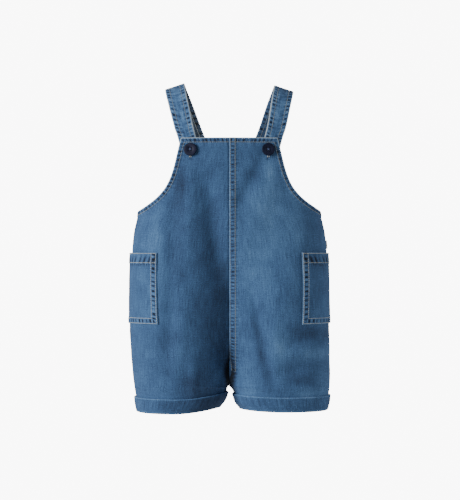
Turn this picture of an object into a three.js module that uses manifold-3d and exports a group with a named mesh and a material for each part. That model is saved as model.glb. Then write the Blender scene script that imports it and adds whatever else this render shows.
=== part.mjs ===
// Baby shortalls in washed denim, filled out as they hang when worn and empty inside, in millimetres.
// +Z is up, the front faces -Y and +X is the wearer's left. The origin lies midway between the two
// straps, level with the underside of their crowns, so every height is given as a drop below it.
import * as THREE from "three";
import { mergeVertices } from "three/addons/utils/BufferGeometryUtils.js";
import Module from "manifold-3d";

const wasm = await Module();
wasm.setup();

// Driving sizes of the cloth and the sewing
const CLOTH = 1.2; // wall of a body panel
const SEAM_GAP = 0.3; // space between two pieces that are sewn edge to edge
const LAY_GAP = 0.4; // space between two pieces that lie on each other
const TURNED_EDGE = 6.3; // width of the turned and topstitched neck and armhole edges
const FELL = 7.2; // width of the felled centre front seam
const FELL_END = 6; // the fell thins out this far above the crotch
const RISE = 0.6; // how far doubled cloth stands above single cloth
const RISE_RAMP = 1; // width of the step between the two

// Driving sizes of the cut, as drops below the shoulder line and distances from the centre line
const NECK_DROP = 65;
const NECK_HALF = 59;
const BACK_DROP = 80;
const BACK_HALF = 57;
const ARMPIT_DROP = 154.4;
const ARMPIT_HALF = 113.7;
const CROTCH_DROP = 371.4;
const CROTCH_SWEEP = 72; // the centre seams curve under the body over this last stretch
const HEM_DROP = { left: 399, right: 401.2 };
const INSEAM_LIFT = { left: 1.8, right: 5.6 }; // how far the hem rises towards the inseam
const ROUNDNESS = 0.92; // 1 makes an elliptical body section, less makes a boxier one

// Handles of the armhole's curve: how far the steep one stands outside the top corner and the level one
// inside the armpit, and their falls as shares of the armhole's height
const ARMHOLE = { out: 11.7, outFall: 0.45, in: 47, inRise: 0.26 };
const ARMHOLE_STEPS = 240;
const NECK_LEAN = 0.12; // how far the columns lean under the neck edge at its corner

// The filled body at each drop: half width at the side seam, depth of the front and of the back from
// the plane of the side seams, how far the section is parted into two lobes (1 is two legs), and how
// far both side seams lie to the wearer's left.
const BODY = [
  { drop: 40, width: 104, front: 42, back: 40, lobes: 0, sway: 0 },
  { drop: 65, width: 107, front: 46, back: 44, lobes: 0, sway: 0 },
  { drop: 100, width: 110.5, front: 50, back: 50, lobes: 0.01, sway: 0 },
  { drop: 154, width: 113.7, front: 53, back: 54, lobes: 0.05, sway: 0 },
  { drop: 182, width: 119.4, front: 56, back: 58, lobes: 0.09, sway: 0 },
  { drop: 212, width: 121.8, front: 58, back: 61, lobes: 0.13, sway: 0 },
  { drop: 257, width: 123.6, front: 59, back: 64, lobes: 0.18, sway: 0 },
  { drop: 302, width: 124.6, front: 58, back: 63, lobes: 0.23, sway: 0.4 },
  { drop: 340, width: 123.8, front: 55, back: 60, lobes: 0.28, sway: 1.9 },
  { drop: 372, width: 122, front: 50, back: 54, lobes: 0.3, sway: 3.4 },
  { drop: 402, width: 117.4, front: 46, back: 48, lobes: 0.3, sway: 3.8 },
];

// Distance of the inseam from the centre line below the crotch
const INSEAM = [
  { drop: 371.4, half: 0 },
  { drop: 373, half: 1.5 },
  { drop: 376, half: 2.7 },
  { drop: 380, half: 3.5 },
  { drop: 388, half: 7.2 },
  { drop: 396, half: 13 },
  { drop: 402, half: 18 },
];

// The wearer's left inseam stands this much further out between these drops
const INSEAM_SHIFT = { by: 2, from: 371.4, full: 379, ebb: 384, end: 394 };

// Soft ridges (rise above 0) and troughs (below 0) in the cloth, each along a straight run that is
// seen from the front or from behind: x is across, reach is how far it spreads to each side.
const FOLDS = {
  front: [
    { x1: -84, drop1: 150, x2: -86, drop2: 300, reach: 15, rise: 1.8 },
    { x1: -69, drop1: 140, x2: -76, drop2: 350, reach: 8, rise: -1.8 },
    { x1: -47, drop1: 110, x2: -50, drop2: 220, reach: 9, rise: 2.4 },
    { x1: -52, drop1: 250, x2: -64, drop2: 375, reach: 10, rise: 2 },
    { x1: -26, drop1: 118, x2: -12, drop2: 240, reach: 14, rise: -7 },
    { x1: -24, drop1: 200, x2: -20, drop2: 345, reach: 36, rise: -4 },
    { x1: -45, drop1: 335, x2: -43, drop2: 385, reach: 8, rise: 2.4 },
    { x1: 40, drop1: 92, x2: 12, drop2: 150, reach: 8, rise: -2.6 },
    { x1: 54, drop1: 110, x2: 22, drop2: 195, reach: 14, rise: 2.6 },
    { x1: 26, drop1: 245, x2: 42, drop2: 330, reach: 7, rise: -2.4 },
    { x1: 42, drop1: 330, x2: 55, drop2: 372, reach: 6, rise: -1.8 },
    { x1: 55, drop1: 260, x2: 57, drop2: 360, reach: 10, rise: 2.4 },
    { x1: 82, drop1: 170, x2: 80, drop2: 300, reach: 32, rise: 6 },
    { x1: 70, drop1: 312, x2: 100, drop2: 312, reach: 9, rise: -3 },
    { x1: 78, drop1: 330, x2: 104, drop2: 324, reach: 7, rise: 1.6 },
    { x1: 68, drop1: 352, x2: 96, drop2: 346, reach: 7, rise: -2.6 },
  ],
  back: [
    { x1: -66, drop1: 130, x2: -60, drop2: 260, reach: 12, rise: 2 },
    { x1: -34, drop1: 120, x2: -24, drop2: 330, reach: 12, rise: -3.4 },
    { x1: 30, drop1: 110, x2: 20, drop2: 320, reach: 13, rise: -3.6 },
    { x1: 62, drop1: 140, x2: 58, drop2: 250, reach: 12, rise: 2.2 },
    { x1: 52, drop1: 290, x2: 60, drop2: 370, reach: 9, rise: 2 },
    { x1: -78, drop1: 316, x2: -46, drop2: 330, reach: 9, rise: -2.4 },
  ],
};

// The valley between the two halves of the front: its floor is the centre seam, it deepens from one
// drop to a second one, ends between the next two, and is this wide on each side of the seam.
const VALLEY = { from: 165, full: 285, ebb: 325, end: 373, depth: 13.5, left: 72, right: 46, power: 1.5 };

// The cleft between the tops of the legs, where the two halves press together at the centre seam
const CLEFT = { from: 315, full: 350, ebb: 355, end: 369, depth: 8, reach: 11 };

// Folds fade out between these distances from the side seam and from the inseam, and the inseam's fade
// sets in between these heights above the crotch.
const SEAM_FADE = { from: 4, to: 30 };
const LEG_BLEND = { above: 30, below: 3 };
const SEAM_LEAN = 26; // the outward direction turns into the plane of the centre seam over this length
const FOLD_ENDS = 0.6; // a fold is this much weaker at its ends than in its middle

// Columns of a panel. The first three follow the centre seam and its fell, the next reach the rest of
// the neck edge and the steep part of the armhole, and the last ones are given as distances along the
// cloth from the side seam. Pockets and cuffs are built on the same columns.
const SIDE_REACHES = { front: [57, 43, 31, 21, 13, 6, 0], back: [48, 37, 27, 18, 11, 5, 0] };

// The front reaches are this much longer at the top and at the bottom of the pockets, so that the
// pockets' front edges look upright.
const SIDE_STRETCH = { left: { top: 1.05, bottom: 1.1 }, right: { top: 1.03, bottom: 1.115 } };
const sideColumns = (face, side, drop) => {
  const { top, bottom } = SIDE_STRETCH[side > 0 ? "left" : "right"];
  const low = clamp((drop - POCKET.top) / (POCKET.bottom - POCKET.top), 0, 1);
  const stretch = face === "front" ? lerp(top, bottom, low) : 1;
  return SIDE_REACHES[face].map((reach) => reach * stretch);
};
const CENTRE_COLUMNS = [0, FELL, FELL + RISE_RAMP];
const NECK_COLUMNS = 4;
const ARM_COLUMNS = 4;
const COLUMNS = CENTRE_COLUMNS.length + NECK_COLUMNS + ARM_COLUMNS + SIDE_REACHES.front.length;
const ROWS = { yoke: 8, body: 15, leg: 3 };
const LEVEL_DROP = ARMPIT_DROP + 22; // rows are level from here down, and follow the edges above it
const HIP_RAISE = 11; // the crotch row is this much higher at the side seam
const ROW_SLOPE = { from: 0.1, to: 0.52 }; // share of the columns over which a row climbs to the side
const NORMAL_STEP = 0.4;
const NEAR = 1e-6;

// Straps: the centre line of the wearer's left one, from its end behind the bib, over the shoulder,
// to its end inside the back. turn and lift say how its width leans to the back and upwards.
const STRAP = { thick: 2, stations: 26, columns: 4, settle: { left: 1.7, right: -0.8 }, settleFrom: -45 };
const STRAP_SPREAD = { left: 2.4, right: 0, from: 5, to: 55 }; // its ends lie this much further out
const STRAP_LINE = [
  { x: 45.4, y: -40.4, z: -93, turn: 0.2, lift: -0.25, width: 22 },
  { x: 48.7, y: -39.6, z: -79.5, turn: 0.2, lift: -0.25, width: 22 },
  { x: 52.3, y: -38.6, z: -65, turn: 0.21, lift: -0.25, width: 22.6 },
  { x: 56.6, y: -35.8, z: -48, turn: 0.2, lift: -0.26, width: 23.6 },
  { x: 62.2, y: -29.4, z: -25, turn: 0.12, lift: -0.3, width: 24.6 },
  { x: 66.3, y: -18, z: -8, turn: 0.05, lift: -0.33, width: 25.2 },
  { x: 68, y: 0, z: 0.4, turn: 0, lift: -0.335, width: 25.4 },
  { x: 64.8, y: 18, z: -7.6, turn: -0.05, lift: -0.34, width: 25.4 },
  { x: 58, y: 30, z: -24, turn: -0.12, lift: -0.35, width: 25.4 },
  { x: 48.8, y: 37.8, z: -48, turn: -0.16, lift: -0.36, width: 25.4 },
  { x: 39.6, y: 41.4, z: -72, turn: -0.15, lift: -0.36, width: 25.4 },
  { x: 34.6, y: 42.2, z: -86, turn: -0.14, lift: -0.36, width: 25.4 },
  { x: 31, y: 43, z: -96, turn: -0.14, lift: -0.36, width: 25.4 },
];
const TUCK_BLEND = 12; // a strap settles against the panel that it lies behind over this drop

// Patch pockets across the side seams, turn-up cuffs, buttons and the side label
const POCKET = { top: 206, bottom: 293.5, cloth: 1, band: 12.6, puff: 1, fill: 1.6, rows: 8 };
const CUFF = { height: 16.4, cloth: 2, flare: 0.4, lip: 1.6, round: 0.4 };
const BUTTON = { x: 47.4, drop: 79.8, radius: 7.6, thick: 2.8, well: 3.9, wellDepth: 0.7 };
const BUTTON_HOLES = { radius: 0.8, offset: 1.45, sides: 10 };
const BUTTON_SIDES = 28;
const STEM_RADIUS = 0.95; // the thread that holds a button, wound round
const BUTTONHOLE = { above: 3.2, below: 12, half: 1.35 };
const LABEL = { top: 190.6, height: 10.4, out: 1.7, back: 7, thick: 0.9 };

const DENIM = { color: 0x4f7499, roughness: 0.92, metalness: 0 };
const DENIM_DARK = { color: 0x456a90, roughness: 0.92, metalness: 0 };
const NAVY_PLASTIC = { color: 0x232c3f, roughness: 0.38, metalness: 0 };
const TAPE = { color: 0xe9e6dc, roughness: 0.9, metalness: 0 };

const clamp = THREE.MathUtils.clamp;
const lerp = THREE.MathUtils.lerp;
const smooth = (v, low, high) => THREE.MathUtils.smoothstep(v, low, high);
const soften = (v) => Math.sign(v) * Math.abs(v) ** ROUNDNESS;

// Smooth value of one column of a table at a drop, by a cubic through its rows
function read(table, column, drop) {
  const last = table.length - 1;
  const d = clamp(drop, table[0].drop, table[last].drop);
  const i = clamp(table.findIndex((row) => row.drop > d) - 1, 0, last - 1);
  const slope = (k) => {
    const a = table[Math.max(k - 1, 0)];
    const b = table[Math.min(k + 1, last)];
    return (b[column] - a[column]) / (b.drop - a.drop);
  };
  const at = d >= table[last].drop ? last - 1 : i;
  const span = table[at + 1].drop - table[at].drop;
  const u = (d - table[at].drop) / span;
  const start = table[at][column];
  const end = table[at + 1][column];
  return (
    (1 + 2 * u) * (1 - u) ** 2 * start +
    u * (1 - u) ** 2 * span * slope(at) +
    u * u * (3 - 2 * u) * end +
    u * u * (u - 1) * span * slope(at + 1)
  );
}

// How far the section at a drop has gone from one torso (0) to two legs (1)
function parting(drop) {
  const lobes = read(BODY, "lobes", drop);
  const q = clamp((drop - (CROTCH_DROP - CROTCH_SWEEP)) / CROTCH_SWEEP, 0, 1);
  return 1 - (1 - lobes) * Math.sqrt(1 - q * q);
}

// Distance of an inseam from the centre line
function inseamHalf(side, drop) {
  if (drop <= CROTCH_DROP) return 0;
  const { by, from, full, ebb, end } = INSEAM_SHIFT;
  const shift = side > 0 ? by * smooth(drop, from, full) * (1 - smooth(drop, ebb, end)) : 0;
  return read(INSEAM, "half", drop) + shift;
}

// One point of the body's section, on one side of the centre seam: t runs from the centre seam, or
// from the inseam below the crotch, to the side seam.
function sectionPoint(face, side, drop, t) {
  const sway = side * read(BODY, "sway", drop);
  const width = read(BODY, "width", drop) + sway - SEAM_GAP / 2;
  const depth = read(BODY, face, drop) - SEAM_GAP / 2;
  const inseam = inseamHalf(side, drop);
  const part = parting(drop);
  const quarter = (t * Math.PI) / 2;
  const torso = [width * soften(Math.sin(quarter)), depth * soften(Math.cos(quarter))];
  const radius = (width - inseam) / 2;
  const leg = [
    inseam + radius * (1 - soften(Math.cos(2 * quarter))),
    depth * soften(Math.sin(2 * quarter)),
  ];
  const x = SEAM_GAP / 2 + lerp(torso[0], leg[0], part);
  const y = SEAM_GAP / 2 + lerp(torso[1], leg[1], part);
  return new THREE.Vector2(x, face === "front" ? -y : y);
}

const SECTION_STEPS = 120;
const SEAM_STEPS = 400;
const sections = new Map();

// A section as a fine line with the length of cloth up to each of its points
function section(face, side, drop) {
  const key = face + side + drop.toFixed(4);
  if (sections.has(key)) return sections.get(key);
  const points = [];
  for (let k = 0; k <= SECTION_STEPS; k++)
    points.push(sectionPoint(face, side, drop, k / SECTION_STEPS));
  const lengths = [0];
  for (let k = 1; k <= SECTION_STEPS; k++)
    lengths.push(lengths[k - 1] + points[k].distanceTo(points[k - 1]));
  const found = { points, lengths, total: lengths[SECTION_STEPS] };
  sections.set(key, found);
  return found;
}

// Point of the bare form at a length of cloth from the centre seam
function formPoint(face, side, drop, length) {
  const line = section(face, side, drop);
  const wanted = clamp(length, 0, line.total);
  let k = line.lengths.findIndex((value) => value >= wanted);
  k = Math.max(k, 1);
  const u = (wanted - line.lengths[k - 1]) / (line.lengths[k] - line.lengths[k - 1]);
  const p = line.points[k - 1].clone().lerp(line.points[k], u);
  return new THREE.Vector3(side * p.x, p.y, -drop);
}

// Length of cloth from the centre seam to where the section is x wide
function lengthAtX(face, side, drop, x) {
  const line = section(face, side, drop);
  let k = line.points.findIndex((p) => p.x >= x);
  k = k < 0 ? SECTION_STEPS : Math.max(k, 1);
  const u = (x - line.points[k - 1].x) / (line.points[k].x - line.points[k - 1].x);
  return lerp(line.lengths[k - 1], line.lengths[k], clamp(u, 0, 1));
}

// How far a drop belongs to the legs: 0 on the body, 1 from just above the crotch down
const legShare = (drop) =>
  smooth(drop, CROTCH_DROP - LEG_BLEND.above, CROTCH_DROP - LEG_BLEND.below);

// Outward direction of the bare form. At a seam it stays in the plane of the seam.
function formNormal(face, side, drop, length) {
  const total = section(face, side, drop).total;
  const atCentre = length < NEAR;
  const atSide = length > total - NEAR;
  if (atCentre && Math.abs(drop - CROTCH_DROP) < NEAR) return new THREE.Vector3(0, 0, -1);
  const low = Math.max(length - NORMAL_STEP, 0);
  const high = Math.min(length + NORMAL_STEP, total);
  const across = formPoint(face, side, drop, high).sub(formPoint(face, side, drop, low));
  const fromSide = length > total / 2;
  const along = (d) => {
    const there = fromSide ? section(face, side, d).total - (total - length) : length;
    return formPoint(face, side, d, there);
  };
  const down = along(drop + NORMAL_STEP).sub(along(drop - NORMAL_STEP));
  const normal = down.cross(across).multiplyScalar(face === "front" ? side : -side);
  if (drop < CROTCH_DROP)
    normal.x *= lerp(smooth(length, 0, SEAM_LEAN), atCentre ? 0 : 1, legShare(drop));
  if ((atCentre && drop > CROTCH_DROP) || atSide) normal.y = 0;
  return normal.normalize();
}

// Height of the folds at a place on the form. They fade out towards the side seam and the inseam.
function foldRise(face, side, drop, length) {
  const p = formPoint(face, side, drop, length);
  const here = new THREE.Vector2(p.x, drop);
  const total = section(face, side, drop).total;
  let rise = 0;
  for (const fold of FOLDS[face]) {
    const start = new THREE.Vector2(fold.x1, fold.drop1);
    const run = new THREE.Vector2(fold.x2, fold.drop2).sub(start);
    const u = clamp(here.clone().sub(start).dot(run) / run.lengthSq(), 0, 1);
    const distance = here.distanceTo(start.addScaledVector(run, u));
    const strength = 1 - FOLD_ENDS * (2 * u - 1) ** 2;
    rise += fold.rise * strength * Math.exp(-((distance / fold.reach) ** 2));
  }
  if (face === "front") {
    const near = clamp(1 - Math.abs(p.x) / (side > 0 ? VALLEY.left : VALLEY.right), 0, 1);
    const depth = VALLEY.depth * (1 - smooth(drop, VALLEY.ebb, VALLEY.end));
    rise -= depth * smooth(drop, VALLEY.from, VALLEY.full) * near ** VALLEY.power;
    const cleft = smooth(drop, CLEFT.from, CLEFT.full) * (1 - smooth(drop, CLEFT.ebb, CLEFT.end));
    rise -= CLEFT.depth * cleft * Math.exp(-Math.abs(p.x) / CLEFT.reach);
  }
  const sideFade = smooth(total - length, SEAM_FADE.from, SEAM_FADE.to);
  const inseamFade = lerp(1, smooth(length, SEAM_FADE.from, SEAM_FADE.to), legShare(drop));
  return rise * sideFade * inseamFade;
}

// A place on the cloth, lifted above the folded form by a distance along its outward direction
function lifted(face, side, drop, length, lift) {
  const normal = formNormal(face, side, drop, length);
  const rise = foldRise(face, side, drop, length) + lift;
  return formPoint(face, side, drop, length).addScaledVector(normal, rise);
}

// A closed mesh from two grids of points with the same rows and columns, joined round their rims.
// closed says that the last column is followed by the first, as in a ring.
function shell(outer, inner, closed = false) {
  const rows = outer.length;
  const columns = outer[0].length;
  const points = [...outer.flat(), ...inner.flat()];
  const index = (grid, i, j) => (grid * rows + i) * columns + (j % columns);
  const faces = [];
  const quad = (a, b, c, d) => faces.push(a, b, c, a, c, d);
  const spans = closed ? columns : columns - 1;
  for (let i = 0; i < rows - 1; i++)
    for (let j = 0; j < spans; j++) {
      quad(index(0, i, j), index(0, i + 1, j), index(0, i + 1, j + 1), index(0, i, j + 1));
      quad(index(1, i, j), index(1, i, j + 1), index(1, i + 1, j + 1), index(1, i + 1, j));
    }
  for (let j = 0; j < spans; j++) {
    quad(index(0, 0, j), index(0, 0, j + 1), index(1, 0, j + 1), index(1, 0, j));
    const i = rows - 1;
    quad(index(0, i, j), index(1, i, j), index(1, i, j + 1), index(0, i, j + 1));
  }
  for (let i = 0; i < rows - 1 && !closed; i++) {
    quad(index(0, i, 0), index(1, i, 0), index(1, i + 1, 0), index(0, i + 1, 0));
    const j = columns - 1;
    quad(index(0, i, j), index(0, i + 1, j), index(1, i + 1, j), index(1, i, j));
  }
  if (volume(points, faces) < 0) faces.reverse();
  const positions = new Float32Array(points.flatMap((p) => [p.x, p.y, p.z]));
  return new THREE.BufferGeometry()
    .setAttribute("position", new THREE.BufferAttribute(positions, 3))
    .setIndex(faces);
}

function volume(points, faces) {
  let sum = 0;
  for (let k = 0; k < faces.length; k += 3) {
    const [a, b, c] = [0, 1, 2].map((n) => points[faces[k + n]]);
    sum += a.dot(b.clone().cross(c)) / 6;
  }
  return sum;
}

// A closed three.js geometry as a solid that can be cut and joined, and back again
function solidOf(geometry) {
  const bare = geometry.index ? geometry.toNonIndexed() : geometry.clone();
  for (const name of ["normal", "uv"]) bare.deleteAttribute(name);
  const merged = mergeVertices(bare, 1e-4);
  const vertProperties = merged.attributes.position.array;
  const triVerts = new Uint32Array(merged.index.array);
  return new wasm.Manifold(new wasm.Mesh({ numProp: 3, vertProperties, triVerts }));
}

function geometryOf(solid) {
  const mesh = solid.getMesh();
  return new THREE.BufferGeometry()
    .setAttribute("position", new THREE.BufferAttribute(mesh.vertProperties, 3))
    .setIndex(new THREE.BufferAttribute(mesh.triVerts, 1));
}

function finish(name, geometry, look) {
  const shaded = geometry.toNonIndexed();
  shaded.computeVertexNormals();
  const mesh = new THREE.Mesh(shaded, new THREE.MeshStandardMaterial(look));
  mesh.name = name;
  return mesh;
}

// Distance along the cloth of each column of a panel, at a drop where the rows are level
function columnLengths(face, side, drop) {
  const total = section(face, side, drop).total;
  const first = CENTRE_COLUMNS.at(-1);
  const between = NECK_COLUMNS + ARM_COLUMNS;
  const reaches = sideColumns(face, side, drop);
  const columns = [...CENTRE_COLUMNS];
  for (let k = 1; k <= between; k++)
    columns.push(lerp(first, total - reaches[0], k / (between + 1)));
  return [...columns, ...reaches.map((reach) => total - reach)];
}

// The armhole from the top corner of a panel to the armpit, as seen from the front
function armhole(face) {
  const half = face === "front" ? NECK_HALF : BACK_HALF;
  const top = face === "front" ? NECK_DROP : BACK_DROP;
  const span = ARMPIT_DROP - top;
  return new THREE.CubicBezierCurve(
    new THREE.Vector2(half, top),
    new THREE.Vector2(half + ARMHOLE.out, top + ARMHOLE.outFall * span),
    new THREE.Vector2(ARMPIT_HALF - ARMHOLE.in, ARMPIT_DROP - ARMHOLE.inRise * span),
    new THREE.Vector2(ARMPIT_HALF, ARMPIT_DROP),
  );
}

// The armhole as a fine line of places on the cloth, each with its length from the centre seam and
// its reach from the side seam
function armholeLine(face, side) {
  const curve = armhole(face);
  const line = [];
  for (let k = 0; k <= ARMHOLE_STEPS; k++) {
    const seen = curve.getPoint(k / ARMHOLE_STEPS);
    const total = section(face, side, seen.y).total;
    const length = k === ARMHOLE_STEPS ? total : lengthAtX(face, side, seen.y, seen.x);
    line.push({ drop: seen.y, length, reach: total - length });
  }
  return line;
}

// The ends of the columns on the neck edge and the armhole, each with the direction into the cloth
function edgePlaces(face, side) {
  const line = armholeLine(face, side);
  const top = line[0].drop;
  const corner = line[0].length;
  const first = CENTRE_COLUMNS.at(-1);
  const places = CENTRE_COLUMNS.map((length) => ({ drop: top, length, inward: [0, 1] }));
  for (let k = 1; k < NECK_COLUMNS; k++) {
    const length = lerp(first, corner, k / NECK_COLUMNS);
    places.push({ drop: top, length, inward: [-NECK_LEAN * (k / NECK_COLUMNS) ** 3, 1] });
  }
  const inwardAt = (k) => {
    const [a, b] = [line[Math.max(k - 1, 0)], line[Math.min(k + 1, line.length - 1)]];
    const [run, fall] = [b.length - a.length, b.drop - a.drop];
    const size = Math.hypot(run, fall);
    return [-fall / size, run / size];
  };
  const [across, down] = inwardAt(0);
  places.push({ drop: top, length: corner, inward: [(1 - down) / across, 1] });
  const reaches = sideColumns(face, side, ARMPIT_DROP);
  const flat = line.findIndex((place) => place.reach <= reaches[0]);
  for (let k = 1; k <= ARM_COLUMNS; k++) {
    const at = Math.round((flat * k) / (ARM_COLUMNS + 1));
    places.push({ ...line[at], inward: inwardAt(at) });
  }
  for (const reach of reaches) {
    const at = line.findIndex((place) => place.reach <= reach + NEAR);
    const inward = reach === 0 ? [0, 1] : inwardAt(at);
    places.push({ ...line[at], inward });
  }
  return places;
}

// Length of the centre seam from the first level row down to the crotch
function centreSeam(face) {
  const steps = SEAM_STEPS;
  const drops = [];
  const lengths = [];
  for (let k = 0; k <= steps; k++) {
    drops.push(lerp(LEVEL_DROP, CROTCH_DROP, Math.sin((k / steps) * (Math.PI / 2))));
    const y = sectionPoint(face, 1, drops[k], 0).y;
    const before = k ? sectionPoint(face, 1, drops[k - 1], 0).y : y;
    const fall = k ? drops[k] - drops[k - 1] : 0;
    lengths.push((k ? lengths[k - 1] : 0) + Math.hypot(y - before, fall));
  }
  return { drops, lengths };
}

// The rows that a leg and its cuff share, from the cuff's top edge down to the hem
function cuffRows(side) {
  const word = side > 0 ? "left" : "right";
  const hem = HEM_DROP[word];
  const row = (up) => ({ centre: hem - INSEAM_LIFT[word] - up, side: hem - up });
  return [row(CUFF.height), row(CUFF.height / 2), row(0)];
}

// Drops of each row below the armhole at its centre seam and at its side seam, even along both
function bodyRows(face, side) {
  const rows = [];
  const seam = centreSeam(face);
  const whole = seam.lengths.at(-1);
  const hip = CROTCH_DROP - HIP_RAISE;
  for (let k = 1; k <= ROWS.body; k++) {
    const at = seam.lengths.findIndex((value) => value >= (k / ROWS.body) * whole - 1e-9);
    const centre = k === ROWS.body ? CROTCH_DROP : seam.drops[at];
    rows.push({ centre, side: lerp(LEVEL_DROP, hip, k / ROWS.body) });
  }
  const [top] = cuffRows(side);
  for (let k = 1; k < ROWS.leg; k++) {
    const part = k / ROWS.leg;
    rows.push({ centre: lerp(CROTCH_DROP, top.centre, part), side: lerp(hip, top.side, part) });
  }
  return [...rows, ...cuffRows(side)];
}

// Drop of a row at one column. A row is level but for a slope between the inseam and the leg's front.
const dropAt = (row, j) =>
  lerp(row.centre, row.side, smooth(j / (COLUMNS - 1), ROW_SLOPE.from, ROW_SLOPE.to));

// Every place of a panel's net: two rows bound the turned edge, eight lead to the first level row
function panelNet(face, side) {
  const edge = edgePlaces(face, side);
  const inside = (depth) =>
    edge.map(({ drop, length, reach, inward }) => {
      const [across, down] = inward;
      const lower = drop + down * depth;
      if (reach === 0) return { drop: lower, length: section(face, side, lower).total };
      const firstThree = CENTRE_COLUMNS.includes(length);
      return { drop: lower, length: firstThree ? length : length + across * depth };
    });
  const rows = [inside(0), inside(TURNED_EDGE), inside(TURNED_EDGE + RISE_RAMP)];
  const start = rows[2];
  const level = columnLengths(face, side, LEVEL_DROP);
  const reaches = sideColumns(face, side, LEVEL_DROP);
  const sideStart = COLUMNS - reaches.length;
  for (let k = 1; k <= ROWS.yoke; k++) {
    const part = k / ROWS.yoke;
    rows.push(
      start.map((from, j) => {
        const drop = lerp(from.drop, LEVEL_DROP, part);
        const total = section(face, side, drop).total;
        const startReach = section(face, side, from.drop).total - from.length;
        const reach = lerp(startReach, reaches[j - sideStart] ?? 0, part);
        const length = lerp(from.length, level[j], part);
        return { drop, length: j >= sideStart ? total - reach : length };
      }),
    );
  }
  for (const row of bodyRows(face, side))
    rows.push(
      level.map((_, j) => {
        const drop = dropAt(row, j);
        return { drop, length: columnLengths(face, side, drop)[j] };
      }),
    );
  return rows;
}

// One body panel: its outer skin follows the folded form, with doubled cloth at the turned edges and
// on the felled seam, and its inner skin lies one thickness of cloth inside.
function panel(face, side, felled) {
  const net = panelNet(face, side);
  const skin = (lift) =>
    net.map((row, i) => row.map((at, j) => lifted(face, side, at.drop, at.length, lift(at, i, j))));
  const outer = skin((at, i, j) => {
    const lapped = felled && j <= 1 && at.drop < CROTCH_DROP - FELL_END;
    return i <= 1 || lapped ? RISE : 0;
  });
  const inner = skin(() => -CLOTH);
  net.at(-1).forEach((at, j) => {
    outer.at(-1)[j].z = -at.drop;
    inner.at(-1)[j].z = -at.drop;
  });
  return shell(outer, inner);
}

// The place of a button, and the outward direction there
function buttonSeat(side) {
  const length = lengthAtX("front", side, BUTTON.drop, BUTTON.x);
  return {
    point: lifted("front", side, BUTTON.drop, length, 0),
    normal: formNormal("front", side, BUTTON.drop, length),
  };
}

// Turns an object's +Z to the outward direction at a button, with its +Y upwards
function seatFrame(seat, lift) {
  const across = new THREE.Vector3(0, 0, 1).cross(seat.normal).normalize();
  const up = seat.normal.clone().cross(across);
  const origin = seat.point.clone().addScaledVector(seat.normal, lift);
  return new THREE.Matrix4().makeBasis(across, up, seat.normal).setPosition(origin);
}

// The front panel with its buttonhole, an upright slot with round ends
function frontPanel(side) {
  const { above, below, half } = BUTTONHOLE;
  const slot = new THREE.Shape()
    .absarc(0, above - half, half, 0, Math.PI)
    .absarc(0, half - below, half, Math.PI, 2 * Math.PI);
  const cutter = new THREE.ExtrudeGeometry(slot, {
    depth: 8 * CLOTH,
    bevelEnabled: false,
    curveSegments: 6,
  });
  cutter.applyMatrix4(seatFrame(buttonSeat(side), -4 * CLOTH));
  return geometryOf(solidOf(panel("front", side, side > 0)).subtract(solidOf(cutter)));
}

// A strap: the table's line is smoothed, and its ends are laid behind the bib and the back
function strap(side) {
  const curve = (pick) =>
    new THREE.CatmullRomCurve3(STRAP_LINE.map(pick), false, "centripetal");
  const line = curve((s) => new THREE.Vector3(s.x, s.y, s.z));
  const lean = curve((s) => new THREE.Vector3(s.turn, s.lift, s.width));
  const outer = [];
  const inner = [];
  for (let i = 0; i <= STRAP.stations; i++) {
    const u = i / STRAP.stations;
    const centre = line.getPoint(u);
    const word = side > 0 ? "left" : "right";
    centre.z -= STRAP.settle[word] * smooth(centre.z, STRAP.settleFrom, 0);
    centre.x += STRAP_SPREAD[word] * smooth(-centre.z, STRAP_SPREAD.from, STRAP_SPREAD.to);
    const tangent = line.getTangent(u);
    const [turn, lift, width] = lean.getPoint(u).toArray();
    const across = new THREE.Vector3(1, turn, lift);
    across.addScaledVector(tangent, -across.dot(tangent)).normalize();
    const out = tangent.clone().cross(across).normalize().negate();
    const outerRow = [];
    const innerRow = [];
    for (let j = 0; j <= STRAP.columns; j++) {
      const offset = (j / STRAP.columns - 0.5) * width;
      const middle = centre.clone().addScaledVector(across, offset);
      outerRow.push(tucked(middle, out, side, STRAP.thick / 2, 0));
      innerRow.push(tucked(middle, out, side, -STRAP.thick / 2, STRAP.thick));
    }
    outer.push(outerRow);
    inner.push(innerRow);
  }
  return shell(outer, inner);
}

// A point of a strap: free above the panels, and against a panel's inner skin below its top edge
function tucked(middle, out, side, offset, depth) {
  const free = middle.clone().addScaledVector(out, offset);
  free.x *= side;
  const face = middle.y < 0 ? "front" : "back";
  const top = face === "front" ? NECK_DROP : BACK_DROP;
  const drop = -middle.z;
  const share = smooth(drop, top - TUCK_BLEND, top - 1);
  if (share === 0) return free;
  const length = lengthAtX(face, side, drop, middle.x);
  const laid = lifted(face, side, drop, length, -CLOTH - LAY_GAP - depth);
  return free.lerp(laid, share);
}

// A place at the side of the garment: reach is measured along the cloth from the side seam, towards
// the front above 0 and towards the back below 0.
function sidePlace(side, drop, reach, lift) {
  const face = reach >= 0 ? "front" : "back";
  const length = section(face, side, drop).total - Math.abs(reach);
  const place = lifted(face, side, drop, length, lift);
  if (reach === 0) place.y = 0;
  return place;
}

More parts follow.
